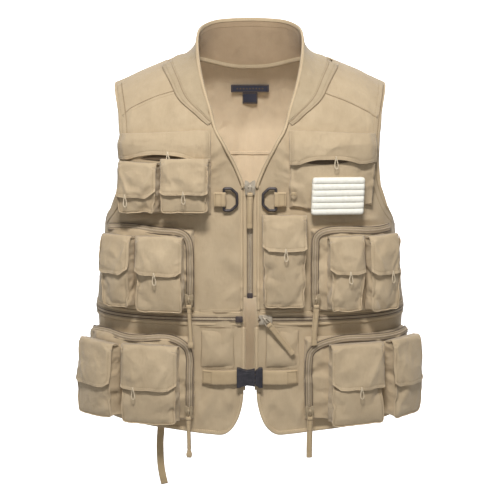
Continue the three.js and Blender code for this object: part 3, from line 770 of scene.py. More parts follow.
def collar():
    lap, seam, edge = collar_lines()
    v = np.linspace(0, 1, 30)
    rise = seam[:, None] * (1 - v)[:, None] + edge[:, None] * v[:, None]
    # Over the shoulders the collar first follows their slope, then stands up.
    ridge = np.abs(np.arange(len(seam)) - len(seam) // 2) - 41
    sink = 11.5 * np.exp(-(ridge / 17) ** 2)[:, None] * 4 * v * (1 - v)
    rise += sink[..., None] * np.stack([-0.62 * np.sign(seam[:, 0]), 0 * ridge, 0 * ridge - 0.78], 1)[:, None]
    w = np.linspace(0, 1, 8)[:-1]
    grid = np.concatenate([lap[:, None] * (1 - w)[:, None] + seam[:, None] * w[:, None], rise], 1)
    normal = grid_normals(grid)
    run, up = np.arange(len(seam))[:, None], np.concatenate([0 * w, v])
    ripple = 1.0 * noise(run / 9 + 3, up[None] * 2.4, 21) + 0.5 * noise(run / 3.5, up[None] * 5, 22)
    lift = ripple * np.sin(np.pi * up) + 1.1 * smooth(up, 0.75, 1)[None] * np.sin(np.pi * run / len(seam))
    outer, inner = grid + normal * (CLOTH + lift)[..., None], grid + normal * (0.4 + lift)[..., None]
    outer[:, :6] = grid[:, :6] + normal[:, :6] * np.linspace(0.6, 2.6, 6)[:, None]
    inner[:, :6] = grid[:, :6] - normal[:, :6] * 1.0
    piece = lined_piece("collar_cloth", outer, inner, COLLAR, COLLAR_INSIDE_PAINTED_SHADE, "collar")
    return outer, inner, normal


collar_outer, collar_inner, collar_normal = collar()
bindings, welts, ditches = Parts(), Parts(), Parts()


def bind(path, normals, width, thickness):
    """A flat bound edge or tape sewn down along a line on the cloth."""
    path, normals = evenly(path, normals, 3)
    bindings.add(strip(path, normals, width, thickness, 0.35))
    stitch_pair(path + normals * (thickness + 0.1), normals, width / 2 - 1.1)


def ditch(path, normals, width=1.1):
    """A thin darker strip where two cloths meet, painted shade for the shadow in their groove."""
    ditches.add(strip(*evenly(path, normals, 3), width, 0.75, 0.0, columns=2))


def seam(turns_levels, spacing=4.2, groove=0.7, double=True):
    """A flat-felled seam on the shell: a slight welt between two rows of stitches."""
    turn, level = curve_through(turns_levels, 1.0).T
    path, up = evenly(on_cloth(turn, level, -0.35), torso_normal(turn, level), 3)
    welts.add(strip(path, up, spacing + 1.6, 0.35 + groove * 0.5, 0.1))
    ditch(path + sideways(path, up) * (spacing / 2 + 1.3) + up * 0.05, up, 1.2)
    for shift in (spacing / 2, -spacing / 2) if double else (spacing / 2,):
        stitch(path + up * (0.4 + groove * 0.55), up, shift=shift)


def neck_edges():
    """A bound edge up the V, round the collar and down again, the collar's seam and the front edges."""
    level = np.linspace(-218, -126, 30)
    inset = stations(NECKLINE, level) + 0.5
    left_v, left_up = on_cloth(inset, level, 0.1), torso_normal(inset, level)
    inward = unit(collar_outer[:, -4] - collar_outer[:, -1])
    edge = (collar_outer[:, -1] + collar_inner[:, -1]) / 2 + inward * 2.2 - collar_normal[:, -1] * 1.9
    mirror = np.array([-1, 1, 1])
    path = np.vstack([left_v, edge[5:-5], (left_v * mirror)[::-1]])
    normals = np.vstack([left_up, collar_normal[5:-5, -2], (left_up * mirror)[::-1]])
    path, normals = evenly(path, normals, 3, passes=6)
    bindings.add(strip(path, normals, 5.6, 3.5, 0.3))
    raised = evened(np.where(path[:, 2:] > -112, 2.3, 0.0), 3)
    ditch(path - sideways(path, normals) * 3.1 + normals * raised, normals, 1.2)
    stitch_pair(path + normals * 3.6, normals, 1.8)
    for row in (2, 6):
        stitch(collar_outer[:, row] + collar_normal[:, row] * 0.2, collar_normal[:, row])
    for run in (slice(2, 48), slice(62, -62), slice(-48, -2)):
        for row in (0, 5):
            ditch(collar_outer[run, row] - collar_normal[run, row] * 0.2, collar_normal[run, row])
    for side in (-1, 1):
        for low, high, inset, width in ((-420, -214, 1.6, 5.0), (-556, -449, 0.1, 6.0)):
            level = np.linspace(low, high, 40)
            turn = side * (stations(NECKLINE, level) + inset)
            bind(on_cloth(turn, level, 0.1), torso_normal(turn, level), width, 1.0)


def outside_seams():
    seam([(-67.5, -88), (-62.8, -72), (-56.4, -64), (-50.3, -61), (-44.2, -60.5)], double=False)
    seam([(68, -88), (60.8, -71), (52.8, -62), (45.6, -59)], double=False)
    for side in (-1, 1):
        for base, sign in ((0, side), (180, -side)):
            seam([(base + sign * (stations(ARMHOLE, level) - 2.4), level) for level in
                  (-8, -30, -60, -90, -130, -178, -220, -258, -284)], 7.5, 0.25)
        seam([(side * 89.0, level) for level in (-598, -520, -450, -380, -315)], 4, 0.6)
        for level in (-446.5, -421.5):
            seam([(side * t, level) for t in (7, 15, 22, 34)], 4.0, 0.3)
        seam([(180 + side * (t * 6 + 30), -560 + 46 * t) for t in np.linspace(-1, 1, 9)], 3, 0.2,
             double=False)
    seam([(180 + 66 * t, -118 - 10 * (1 - t * t)) for t in np.linspace(-1, 1, 15)], 4.2, 0.6)
    for level in (-421, -449):
        seam([(180 + 84 * t, level) for t in np.linspace(-1, 1, 21)], 4.2, 0.3)
    # A large sewn-down pocket across the upper back.
    seam([(150, -170), (149, -290), (149, -398), (165, -402), (195, -402), (211, -398), (211, -290),
          (210, -170)], 3.4, 0.8)


def hem():
    for side in (-1, 1):
        across = HEM_CORNER[0]
        corner = FRONT_EDGE_X + across * (1 - np.cos(np.linspace(0.1, math.pi / 2, 26)))
        girth = np.concatenate([corner, np.linspace(FRONT_EDGE_X + across + 4, 320, 40)])
        share = (girth - FRONT_EDGE_X) / (QUARTER_GIRTH - FRONT_EDGE_X)
        level = hem_level(girth)
        turn = side * front_turn(level, share)
        path = on_cloth(turn, level, -0.6)
        normal = torso_normal(turn, level)
        inward = sideways(path, normal) * side
        inward = np.where((inward[:, 2] < 0)[:, None], -inward, inward)
        bind(path + inward * 3.4, normal, 7.0, 1.5)
    turn = np.linspace(91, 269, 90)
    bind(on_cloth(turn, HEM_SIDE + 3.6, -0.6), torso_normal(turn, HEM_SIDE + 3.6), 7.0, 1.5)
    for side in (-1, 1):
        level = np.linspace(-296, -4, 70)
        for base, sign in ((0, 1), (180, -1)):
            turn = base + sign * side * (stations(ARMHOLE, level) - 0.4)
            path, normal = evenly(torso(turn, level, 1.6), torso_normal(turn, level), 3)
            bindings.add(tube(path, 1.9, normal))


def inside_seams():
    inner = Parts()
    lines = [[(180 + t, -190 + 2 * (t / 60) ** 2) for t in np.linspace(-60, 60, 17)],
             [(180 + t, -422) for t in np.linspace(-70, 70, 21)]]
    for line, width in zip(lines, (6, 14)):
        turn, level = curve_through(line, 1.0).T
        normal = -torso_normal(turn, level)
        tape, up = evenly(torso(turn, level) - normal * (0.4 + folds(turn, level))[:, None], normal, 3)
        inner.add(strip(tape, up, width, 1.1, 0.2))
        stitch_pair(tape + up * 1.3, up, width / 2 - 1)
    ends = slice(46, len(collar_inner) - 46)
    facing = -unit((collar_normal[ends, 8] + collar_normal[ends, 10]) * [1, 1, 0.15])
    tape, up = evenly(collar_inner[ends, 7] - [0, 0, 1.6] - facing * 0.2, facing, 3, passes=12)
    # The inside tapes take the inside's painted-light colour.
    inner.piece("inside_tapes", INSIDE_PAINTED_LIGHT)
    across = sideways(tape, up)
    new_piece("neck_tape_cloth", *strip(tape, up, 6.4, 0.9, 0.1), COLLAR)
    for shift in (-3.6, 3.6):
        ditch(tape + across * shift - up * 0.2, up, 1.3)
    stitch_pair(tape + up * 0.9, up, 2.0)
    rim = slice(12, len(collar_inner) - 12)
    ditch(collar_inner[rim, -6] + collar_normal[rim, -6] * 0.35, -collar_normal[rim, -6], 1.4)


neck_edges()
outside_seams()
hem()
inside_seams()


# ---- pockets and pouches: padded boxes of cloth, blown up a little by a cloth simulation ----

def block(nu, nv, nd):
    """The skin of a block of cells: points as shares (u, v, w), quads, and each lattice place's point."""
    found, cells, quads = {}, [], []

    def at(i, j, k):
        if (i, j, k) not in found:
            found[i, j, k] = len(cells)
            cells.append((i, j, k))
        return found[i, j, k]

    for i in range(nu):
        for j in range(nv):
            for k in (0, nd):
                quads.append([at(i, j, k), at(i + 1, j, k), at(i + 1, j + 1, k), at(i, j + 1, k)])
        for k in range(nd):
            for j in (0, nv):
                quads.append([at(i, j, k), at(i + 1, j, k), at(i + 1, j, k + 1), at(i, j, k + 1)])
    for j in range(nv):
        for k in range(nd):
            for i in (0, nu):
                quads.append([at(i, j, k), at(i, j + 1, k), at(i, j + 1, k + 1), at(i, j, k + 1)])
    shares = np.array(cells, float) / (nu, nv, nd)
    return shares, quads, found


inflating = []


def padded_box(name, nodes, size, place_points, pressure, cap):
    """A sewn box of cloth. size is its cells; place_points(u, v, w) gives its skin in mm."""
    shares, quads, found = block(*size)
    u, v, w = shares.T
    piece = new_piece(name, place_points(u, v, w), quads, KHAKI, replaces=nodes)
    sewn = np.flatnonzero((w < 0.01) | (v > 0.99))
    inflating.append({"piece": piece, "sewn": sewn.tolist(), "pressure": pressure, "cap": cap,
                      "found": found, "size": size, "shares": shares})
    return inflating[-1]


def compartment(name, turns, levels, depth, corner):
    """A zipped compartment that follows the torso, its outline rounded and its sides sloping in."""
    width = abs(turns[1] - turns[0]) / 90 * QUARTER_GIRTH
    height = levels[1] - levels[0]

    def place_points(u, v, w):
        a, b = 2 * u - 1, 2 * v - 1
        soft = corner * w ** 0.7
        a2 = a * np.sqrt(1 - soft * b * b / 2) * (1 - 5 / width * w)
        b2 = b * np.sqrt(1 - soft * a * a / 2) * (1 - 5 / height * w)
        turn = turns[0] + (turns[1] - turns[0]) * (a2 + 1) / 2
        level = levels[0] + height * (b2 + 1) / 2
        crown = 1.5 * (1 - np.abs(a) ** 4) * (1 - np.abs(b) ** 4) * (w > 0.99)
        ripple = 0.8 * noise(turn / 3.1, level / 9, len(name)) * w
        return torso(turn, level, POCKET_BACK - 1.4 + (depth - POCKET_BACK - 1.2) * w + crown + ripple)

    cells = (int(width / 5), int(height / 5), 4)
    return padded_box(name.replace("pocket", "compartment"), [name], cells, place_points, 2.2, 4.0)


# Compartments: turns, levels, depth, and how round their outline is.
COMPARTMENTS = {
    "right_chest_pocket": ((-68.3, -27), (-262, -129), CHEST_DEPTH, 0.10),
    "left_chest_pocket": ((27, 66), (-252, -129), CHEST_DEPTH, 0.10),
    "right_side_pocket": ((-75, -36.7), (-422, -284), SIDE_DEPTH, 0.16),
    "left_side_pocket": ((39, 74.5), (-424, -284), SIDE_DEPTH, 0.16),
    "right_lower_pocket": ((-82, -37), (-608, -464), LOWER_DEPTH, 0.16),
    "left_lower_pocket": ((36, 82), (-608, -464), LOWER_DEPTH, 0.16),
}
boxes = {name: compartment(name, *facts) for name, facts in COMPARTMENTS.items()}

# Pouches: turns, levels, the depth that their backs lie at, their own depth, the flap's drop, and which lower
# corners of the flap are cut off (left, right in mm).
POUCHES = {
    "right_chest_outer": ((-65.5, -51.5), (-258, -179), 14, 24, 52, (5, 16)),
    "right_chest_inner": ((-50.4, -28), (-254, -172), 14, 24, 52, (5, 5)),
    "left_front": ((9.5, 36.5), (-412, -264), 3, 24, 52, (10, 5)),
    "right_side_outer": ((-71.5, -60.6), (-415, -300), 18, 24, 58, (5, 14)),
    "right_side_inner": ((-59.4, -41.2), (-417, -298), 18, 24, 58, (9, 9)),
    "left_side_inner": ((46.3, 59.4), (-418, -298), 18, 24, 56, (10, 2)),
    "left_side_outer": ((60.6, 71.5), (-421, -300), 18, 24, 60, (10, 3)),
    "right_lower_outer": ((-78.5, -65), (-603, -481), 21, 26, 68, (4, 11)),
    "right_lower_inner": ((-63.6, -43.5), (-606, -478), 21, 26, 68, (4, 13)),
    "left_lower_inner": ((47, 65.2), (-608, -476), 21, 26, 70, (14, 2)),
    "left_lower_outer": ((66.6, 78.5), (-603, -476), 21, 26, 74, (9, 6)),
}


def pouch(name, turns, levels, back, depth, drop, cuts):
    place = Place(sum(turns) / 2, levels[1], back + GAP)
    left, right = (float(place.local(torso(turn, levels[1], back + GAP))[0]) for turn in turns)
    height = levels[1] - levels[0]
    inset = 1.6
    seed = 40 + len(name) + int(abs(turns[0]))

    def place_points(u, v, w):
        a, b = 2 * u - 1, 2 * v - 1
        soft = 0.05 * w
        a2, b2 = a * np.sqrt(1 - soft * b * b), b * np.sqrt(1 - soft * a * a * 0.6)
        rear = torso(turns[0] + (turns[1] - turns[0]) * (a + 1) / 2, levels[0] + height * v, back)
        x = left + inset + (right - left - 2 * inset) * (a2 + 1) / 2
        y = -height + 1.2 + (height - 2.4) * (b2 + 1) / 2
        sag = 2.6 * np.sin(np.pi * np.clip(1.15 * (1 - v), 0, 1)) * (1 - a * a) - 1.8 * v ** 3
        ripple = 0.7 * noise(u * 5 + seed, v * 7, seed) * w
        front = place.at(x, y, depth - 3.4 + sag + ripple)
        p = rear * (1 - w)[:, None] + front * w[:, None]
        near = np.minimum(np.minimum(u, 1 - u) * 4, np.minimum(w, 1 - w) * 3)
        p[:, 2] -= np.where(v > 0.999, 11 * smooth(near, 0, 1), 0)
        return p

    cells = (max(8, int((right - left) / 4.2)), int(height / 4.4), 7)
    made = padded_box(name + "_pouch_cloth", [name + "_pouch"], cells, place_points, 3.6, 5.5)
    made.update(frame=place, left=left, right=right, depth=depth, drop=drop, cuts=cuts)
    return made


for pouch_name, pouch_facts in POUCHES.items():
    boxes[pouch_name] = pouch(pouch_name, *pouch_facts)


def inflate():
    """Runs one simulation over all the boxes, then keeps each result, with no point moved past its cap."""
    frames, shrink = 16, -0.05
    for box in inflating:
        piece = box["piece"]
        piece.vertex_groups.new(name="sewn").add(box["sewn"], 1.0, "REPLACE")
        cloth = piece.modifiers.new("inflate", "CLOTH")
        facts = {"quality": 4, "mass": 0.2, "use_pressure": True, "uniform_pressure_force": box["pressure"],
                 "vertex_group_mass": "sewn", "shrink_min": shrink, "shrink_max": shrink,
                 "bending_stiffness": 0.05}
        for key, value in facts.items():
            setattr(cloth.settings, key, value)
        cloth.settings.effector_weights.gravity = 0
        cloth.point_cache.frame_start = 1
        cloth.point_cache.frame_end = frames
    for step in range(1, frames + 1):
        scene.frame_set(step)
    depsgraph = bpy.context.evaluated_depsgraph_get()
    for box in inflating:
        piece = box["piece"]
        before = read(piece.data.vertices, "co")
        moved = read(piece.evaluated_get(depsgraph).data.vertices, "co") - before
        far = np.linalg.norm(moved, axis=1, keepdims=True)
        limit = box["cap"] * MM
        moved *= limit * np.tanh(far / limit) / np.maximum(far, 1e-9)
        box["result"] = before + moved
    for box in inflating:
        piece = box["piece"]
        piece.modifiers.clear()
        piece.vertex_groups.clear()
        piece.data.vertices.foreach_set("co", box.pop("result").ravel())
        piece.data.update()
    scene.frame_set(1)


inflate()


def subdivided(piece):
    smoother = piece.modifiers.new("rounding", "SUBSURF")
    smoother.levels = smoother.render_levels = 1


def finish_box(box):
    """Puckers the cloth beside its seams, sharpens the sewn front edges and rounds the rest."""
    piece = box["piece"]
    points, (u, v, w) = read(piece.data.vertices, "co") / MM, box["shares"].T
    normals = read(piece.data.vertices, "normal")
    size = np.array(box["size"])
    side = np.minimum(u, 1 - u) * size[0]
    foot = v * size[1]
    pucker = 0.75 * np.exp(-(side / 2.6) ** 2) * noise(v * size[1] / 1.7, u * 3, len(piece.name))
    pucker = pucker + np.exp(-(foot / 2.2) ** 2) * noise(u * size[0] / 1.9, v * 3, 7)
    wide, tall = (points[:, 0] * 0.8 + points[:, 1] * 0.6) / 24, points[:, 2] / 27
    near_side = smooth(np.abs(2 * u - 1), 0.25, 0.95)
    pucker = pucker + 2.9 * creased(tall, wide * 1.3, len(piece.name) + 3) * (w > 0.9) * near_side
    pucker = pucker + 0.9 * noise(wide * 0.9, tall * 0.8, len(piece.name) + 5)
    amount = 0.95 if "frame" in box else 0.3
    points = points + normals * (amount * pucker * (w > 0.2))[:, None]
    piece.data.vertices.foreach_set("co", (points * MM).ravel())
    nu, nv, nd = box["size"]
    found = box["found"]
    path = [found[0, j, nd] for j in range(nv, 0, -1)] + [found[i, 0, nd] for i in range(nu)]
    path += [found[nu, j, nd] for j in range(nv + 1)]
    crease = piece.data.attributes.new("crease_edge", "FLOAT", "EDGE")
    wanted = {frozenset(pair) for pair in zip(path[:-1], path[1:])}
    values = [0.55 if frozenset(edge.vertices) in wanted else 0.0 for edge in piece.data.edges]
    crease.data.foreach_set("value", values)
    piece.data.update()
    box_uv(piece.data)
    subdivided(piece)
    box["rim"] = points[path]


for each_box in inflating:
    finish_box(each_box)


def surface_of(piece):
    """A tree for rays, in mm, of the finished mesh."""
    mesh = piece.evaluated_get(bpy.context.evaluated_depsgraph_get()).to_mesh()
    return BVHTree.FromPolygons([v.co / MM for v in mesh.vertices], [list(f.vertices) for f in mesh.polygons])


piping = Parts()


def pipe_rim(box):
    """The corded seam round a pouch's front, and the stitches inside it."""
    outward = box["frame"].outward
    rim = evened(curve_through(box["rim"], 2.2), 4)
    piping.add(tube(rim + unit(rim - rim.mean(0)) * 0.45, 0.95, repeated(outward, len(rim)), 6))
    rim = curve_through(box["rim"], 3)
    stitch(rim + unit(rim.mean(0) - rim) * 3.2 + outward * 0.9, repeated(outward, len(rim)))


for pouch_name in POUCHES:
    pipe_rim(boxes[pouch_name])


# ---- flaps ----

def flap_grid(box, seed):
    """Outer points of a flap: a lid from the pouch's back, a bend, then a drop that lies on the pouch."""
    tree = surface_of(box["piece"])
    place, left, right, depth, drop, cuts = (box[key] for key in ("frame", "left", "right", "depth", "drop",
                                                                  "cuts"))
    rows, columns = 34, max(22, int((right - left) / 1.9))
    u = np.linspace(0, 1, columns)
    x = left - 1.6 + (right - left + 3.2) * u
    from_left, from_right = x - x[0], x[-1] - x
    cut = np.maximum(0, cuts[0] - from_left) * 0.75 + np.maximum(0, cuts[1] - from_right) * 0.75
    centre = (x - x.mean()) / (x[-1] - x[0]) * 2
    length = drop - cut + 1.2 * noise(x / 16, 0.5, seed)
    s = np.linspace(0, 1, rows) ** 0.85
    y = -1.5 - (length[:, None] - 1.5) * s[None]
    hit = np.full(y.shape, np.nan)
    for i in range(columns):
        for j in range(rows):
            over = min(max(x[i], left + 2.5), right - 2.5)
            start = place.at(over, max(y[i, j], -drop), depth + 45)
            found = tree.ray_cast(Vector(start), Vector(-place.outward), 80)
            if found[0] is not None:
                hit[i, j] = place.local(np.array(found[0]))[2]
    hit = np.where(np.isnan(hit), depth - 2, hit)
    hit = np.maximum(hit, depth - 3)
    for _ in range(3):
        wide = np.pad(hit, 2, mode="edge")
        near = [wide[2 + a:2 + a + columns, 2 + b:2 + b + rows] for a in (-2, 0, 2) for b in (-2, 0, 2)]
        hit = np.maximum(hit, np.mean(near, axis=0))
    edge = np.minimum(from_left, from_right)[:, None]
    wrap = -5.0 * (1 - smooth(edge, 0, 7)) * (1 - 0.6 * s[None])
    swell = 3.0 * np.sin(np.pi * s)[None] * (1 - centre[:, None] ** 2)
    reach = np.abs(centre)[:, None] - (1.0 - 0.75 * s[None])
    uneven = 0.9 + 0.8 * np.where(centre > 0, math.sin(seed * 1.7), math.cos(seed * 2.3))[:, None]
    swell = swell + 1.5 * uneven * np.exp(-(reach / 0.13) ** 2) * np.sin(np.pi * s)[None] ** 0.7
    ripple = 1.3 * noise(x[:, None] / 21 + s[None] * 1.5, s[None] * 2.2 + seed, seed + 1)
    ripple = ripple + 0.5 * noise(x[:, None] / 8, s[None] * 5, seed + 2)
    near_side = 0.25 + 0.75 * smooth(np.abs(centre), 0.2, 0.9)[:, None]
    ripple = ripple + 2.7 * near_side * creased(s[None] * 2.2, x[:, None] / 22 + s[None], seed + 3)
    flare = 3.4 * s[None] ** 5
    z = hit + 1.3 + wrap + swell + ripple * (0.4 + 0.6 * s[None]) + flare
    droop = 6.0 * np.abs(centre[:, None]) ** 5 * (1 - s[None])
    y = y - droop * 0.8
    lid_rows = 9
    t = np.linspace(0, 1, lid_rows)[None]
    front = z[:, :1]
    lid_z = 3 + (front - 3) * np.sin(t * np.pi / 2) ** 0.9
    crest = 3.0 + 1.1 * noise(x[:, None] / 17, t * 1.4, seed + 5) + 1.2 * np.sin(np.pi * t)
    lid_y = 2.2 + (crest - 2.2) * smooth(t, 0, 0.45) - (crest - y[:, :1]) * smooth(t, 0.62, 1.0)
    lid_y = lid_y - droop[:, :1] * smooth(t, 0.3, 1)
    y = np.concatenate([lid_y[:, :-1], y], 1)
    z = np.concatenate([lid_z[:, :-1], z], 1)
    return place.at(x[:, None], y, z)


def flap(name, node, outer, place, hem=5.5, loop_at=None):
    """A flap's cloth, its stitched hem and its elastic loop, all riding on the flap's own body."""
    body = node + "_body"
    normal = grid_normals(outer)
    if (normal[len(normal) // 2, -6] @ place.outward) < 0:
        normal = -normal
    run = np.cumsum(np.linalg.norm(np.diff(outer, axis=1), axis=2), axis=1)
    left_over = run[:, -1:] - np.concatenate([np.zeros((len(run), 1)), run], 1)
    thick = 1.5 + 0.7 * (1 - smooth(left_over, hem, hem + 1.6))
    face = outer - normal * (0.35 * np.exp(-((left_over - hem) / 1.1) ** 2))[..., None]
    inner = outer - normal * thick[..., None]
    new_piece(name, *shell(face, inner), KHAKI, body=body, replaces=[node])
    i = np.arange(1, len(outer) - 1)
    j = np.abs(left_over[i] - hem).argmin(1)
    stitch(face[i, j] + normal[i, j] * 0.25, normal[i, j], body=body)
    for i in (2, len(outer) - 3):
        stitch(face[i, 10:-2] + normal[i, 10:-2] * 0.2, normal[i, 10:-2], body=body, pitch=3.4)
    rim = resample(outer[:, -1] - normal[:, -1] * 0.9, 2)
    new_piece(name + "_edge", *tube(rim, 1.15, repeated(place.outward, len(rim))), BINDING, body=body)
    if loop_at is not None:
        i = int(loop_at * (len(outer) - 1))
        start = outer[i, -1] - normal[i, -1] * 0.6
        share = np.linspace(0, 1, 26)
        swing = np.sin(share * np.pi)
        width = 3.1 * np.sin(share * 2 * np.pi) * (0.55 + 0.45 * swing)
        path = (start + np.outer(5 - 20 * swing, place.up) + np.outer(width + 1.0 * swing, place.right)
                + np.outer(1.6 + 1.3 * swing, place.outward))
        path[0] -= place.right * 0.9
        path[-1] += place.right * 0.9
        new_piece(name + "_loop", *tube(path, 0.85, repeated(place.outward, len(path))), ELASTIC, body=body)


# Flaps with an elastic loop, and its place as a share of the flap's width.
LOOPS = {"right_chest_outer": 0.3, "right_chest_inner": 0.52, "left_front": 0.52,
         "right_side_inner": 0.45, "left_side_inner": 0.54, "left_side_outer": 0.66,
         "right_lower_inner": 0.26, "left_lower_inner": 0.52}

for flap_seed, pouch_name in enumerate(POUCHES):
    box = boxes[pouch_name]
    flap(pouch_name + "_flap_cloth", pouch_name + "_flap", flap_grid(box, 60 + 5 * flap_seed), box["frame"],
         loop_at=LOOPS.get(pouch_name))


def chest_flap(name, node, turns, top, bottom, arch, arch_at, seed, slope, loop_at=None):
    """A wide flap over a chest compartment, following the torso, its lower edge arched up over the pocket."""
    columns, rows = 64, 30
    u = np.linspace(0, 1, columns)[:, None]
    turn = turns[0] + (turns[1] - turns[0]) * u
    bow = arch * np.clip(1 - np.abs((u - arch_at) / 0.33) ** 2.2, 0, 1)
    s = np.linspace(0, 1, rows)[None]
    low = bottom + bow + 1.2 * noise(u * 6, 0.3, seed)
    level = top - 2 + (low - top + 2) * s
    out = CHEST_DEPTH + 0.6 + slope * s + 2.2 * np.sin(np.pi * s) + 1.4 * noise(u * 5, s * 2.4, seed + 1)
    out = out + bow / max(arch, 1) * 4.2 * s ** 3 + 0.5 * noise(u * 13, s * 5, seed + 2)
    edge = np.minimum(u, 1 - u)
    out = out + 1.6 * creased(s * 1.5 + u, u * 4 + s, seed + 4)
    out = out - 6 * (1 - smooth(edge, 0, 0.09))
    t = np.linspace(0, 1, 9)[None]
    lid_out = 6 + (out[:, :1] - 6) * np.sin(t * np.pi / 2)
    lid_level = top + 0.5 + 1.6 * np.sin(np.pi * t) - 2.5 * smooth(t, 0.6, 1)
    level = np.concatenate([lid_level[:, :-1] + 0 * u, level], 1)
    out = np.concatenate([lid_out[:, :-1], out], 1)
    place = Place(sum(turns) / 2, (top + bottom) / 2, CHEST_DEPTH)
    flap(name, node, torso(turn, level, out), place, hem=6, loop_at=loop_at)


def pocket_mouth(name, turns, level, height):
    """A thin dark sheet under a chest flap's arch: painted shade for the hollow of the pocket's opening."""
    share = np.linspace(-1, 1, 30)[:, None]
    low = level - height * 0.35 * (1 - share ** 2)
    high = level + height * (1 - np.abs(share) ** 2.2)
    s = np.linspace(0, 1, 6)[None]
    turn = (turns[0] + turns[1]) / 2 + (turns[1] - turns[0]) / 2 * share
    grid_level = low + (high - low) * s
    outer, inner = torso(turn, grid_level, CHEST_DEPTH + 3.4), torso(turn, grid_level, CHEST_DEPTH - 1)
    new_piece(name, *shell(outer, inner), MOUTH_PAINTED_SHADE)


# Dark sheets of painted shade under the chest flaps' arches.
pocket_mouth("right_chest_mouth", (-59, -35), -171, 10)
pocket_mouth("left_chest_mouth", (36, 55), -176, 8)
chest_flap("right_chest_flap_cloth", "right_chest_flap", (-68.3, -27), -126.5, -173, 10, 0.45, 11, 3.0, 0.5)
chest_flap("left_chest_flap_cloth", "left_chest_flap", (27, 66), -126.5, -178, 9, 0.48, 17, 5.4, 0.58)


# ---- zips ----

TOOTH = np.array([(-1, -1, 0), (1, -1, 0), (1, 1, 0), (-1, 1, 0),
                  (-0.8, -0.7, 1), (0.8, -0.7, 1), (0.8, 0.7, 1), (-0.8, 0.7, 1)], float)
TOOTH_FACES = [(3, 2, 1, 0), (4, 5, 6, 7), (0, 1, 5, 4), (1, 2, 6, 5), (2, 3, 7, 6), (3, 0, 4, 7)]


def coil(path, normals, pitch, half):
    """Interlocked teeth along a line: half is half a tooth's size along, across and out."""
    path, normals = evenly(path, normals, pitch)
    t, side = along(path), sideways(path, normals)
    parts = Parts()
    box = TOOTH * half
    for k in range(len(path)):
        shift = side[k] * (half[1] * 0.28 if k % 2 else -half[1] * 0.28)
        parts.add((path[k] + shift + box[:, :1] * t[k] + box[:, 1:2] * side[k] + box[:, 2:] * normals[k],
                   TOOTH_FACES))
    return np.vstack(parts.points), parts.faces


def on_pocket(tree, line, reach):
    """Points and normals of a line of turns and levels laid on a compartment."""
    fine = curve_through(line, 1.0)
    points, normals = [], []
    for turn, level in fine:
        high, low = torso(turn, level, reach + 14), torso(turn, level, reach)
        ray = unit(low - high)
        hit = tree.ray_cast(Vector(high), Vector(ray), 30)
        if hit[0] is None:
            hit = tree.find_nearest(Vector(low))
        points.append(np.array(hit[0]))
        normals.append(-ray * 0.6 + np.array(hit[1]) * 0.4 * np.sign(np.dot(hit[1], -ray)))
    points, normals = np.array(points), unit(np.array(normals))
    kernel = np.ones(9) / 9
    for grid in (points, normals):
        wide = np.vstack([grid[:1].repeat(4, 0), grid, grid[-1:].repeat(4, 0)])
        for k in range(3):
            grid[:, k] = np.convolve(wide[:, k], kernel, "valid")
    return points, unit(normals)


# Each pocket zip's line of turns and levels.
POCKET_ZIPS = {
    "right_side": [(-73.5, -290), (-66, -286), (-59, -286), (-51.4, -288.5), (-45, -288.5), (-41, -294),
                   (-38.9, -308), (-38.5, -334), (-38.5, -367), (-38.6, -392), (-38.8, -414)],
    "left_side": [(73, -289), (65.1, -291), (55.7, -287), (47.7, -287), (43.6, -290), (41.4, -300),
                  (41.1, -318), (41.1, -351), (41.2, -384), (41.4, -414)],
    "right_lower": [(-81, -470), (-73.2, -466), (-67.3, -467), (-62.1, -470), (-55.1, -467), (-49.4, -466),
                    (-44, -470), (-40.4, -480), (-39, -496), (-39, -526), (-39.1, -560), (-39.3, -596)],
    "left_lower": [(80, -468), (71.5, -470), (62.4, -469), (55.5, -467), (49.8, -469), (43.5, -476),
                   (39.4, -488), (38.1, -504), (38.1, -531), (38.3, -560), (38.6, -596)],
}


def pocket_zip(prefix, line):
    pocket = prefix + "_pocket"
    depth = COMPARTMENTS[pocket][2]
    path, normals = on_pocket(surface_of(boxes[pocket]["piece"]), line, depth)
    path = path + normals * 1.0
    centre, up = evenly(path, normals, 3)
    new_piece(prefix + "_zip_tape", *strip(centre, up, 11.4, 1.1, 0.4), ZIP_TAPE, slot="zip_chain")
    side = sideways(centre, up)
    # Dark strips of painted shade beside the coil and at the tape's edges.
    edges = Parts()
    for shift, width in ((-5.7, 1.2), (-2.1, 1.5), (2.1, 1.5), (5.7, 1.2)):
        edges.add(strip(centre + side * shift + up * 0.45, up, width, 1.05, 0.1, columns=2))
    edges.piece(prefix + "_zip_edges", ZIP_GROOVE_SHADE, slot="zip_chain")
    teeth = coil(path + normals * 1.2, normals, 1.9, (0.66, 1.15, 0.9))
    new_piece(prefix + "_zip_coil", *teeth, ZIP_COIL, slot="zip_chain")
    for shift in (-7.6, 7.6):
        stitch(centre + side * shift + up * 0.1, up)


for zip_prefix, zip_line in POCKET_ZIPS.items():
    pocket_zip(zip_prefix, zip_line)


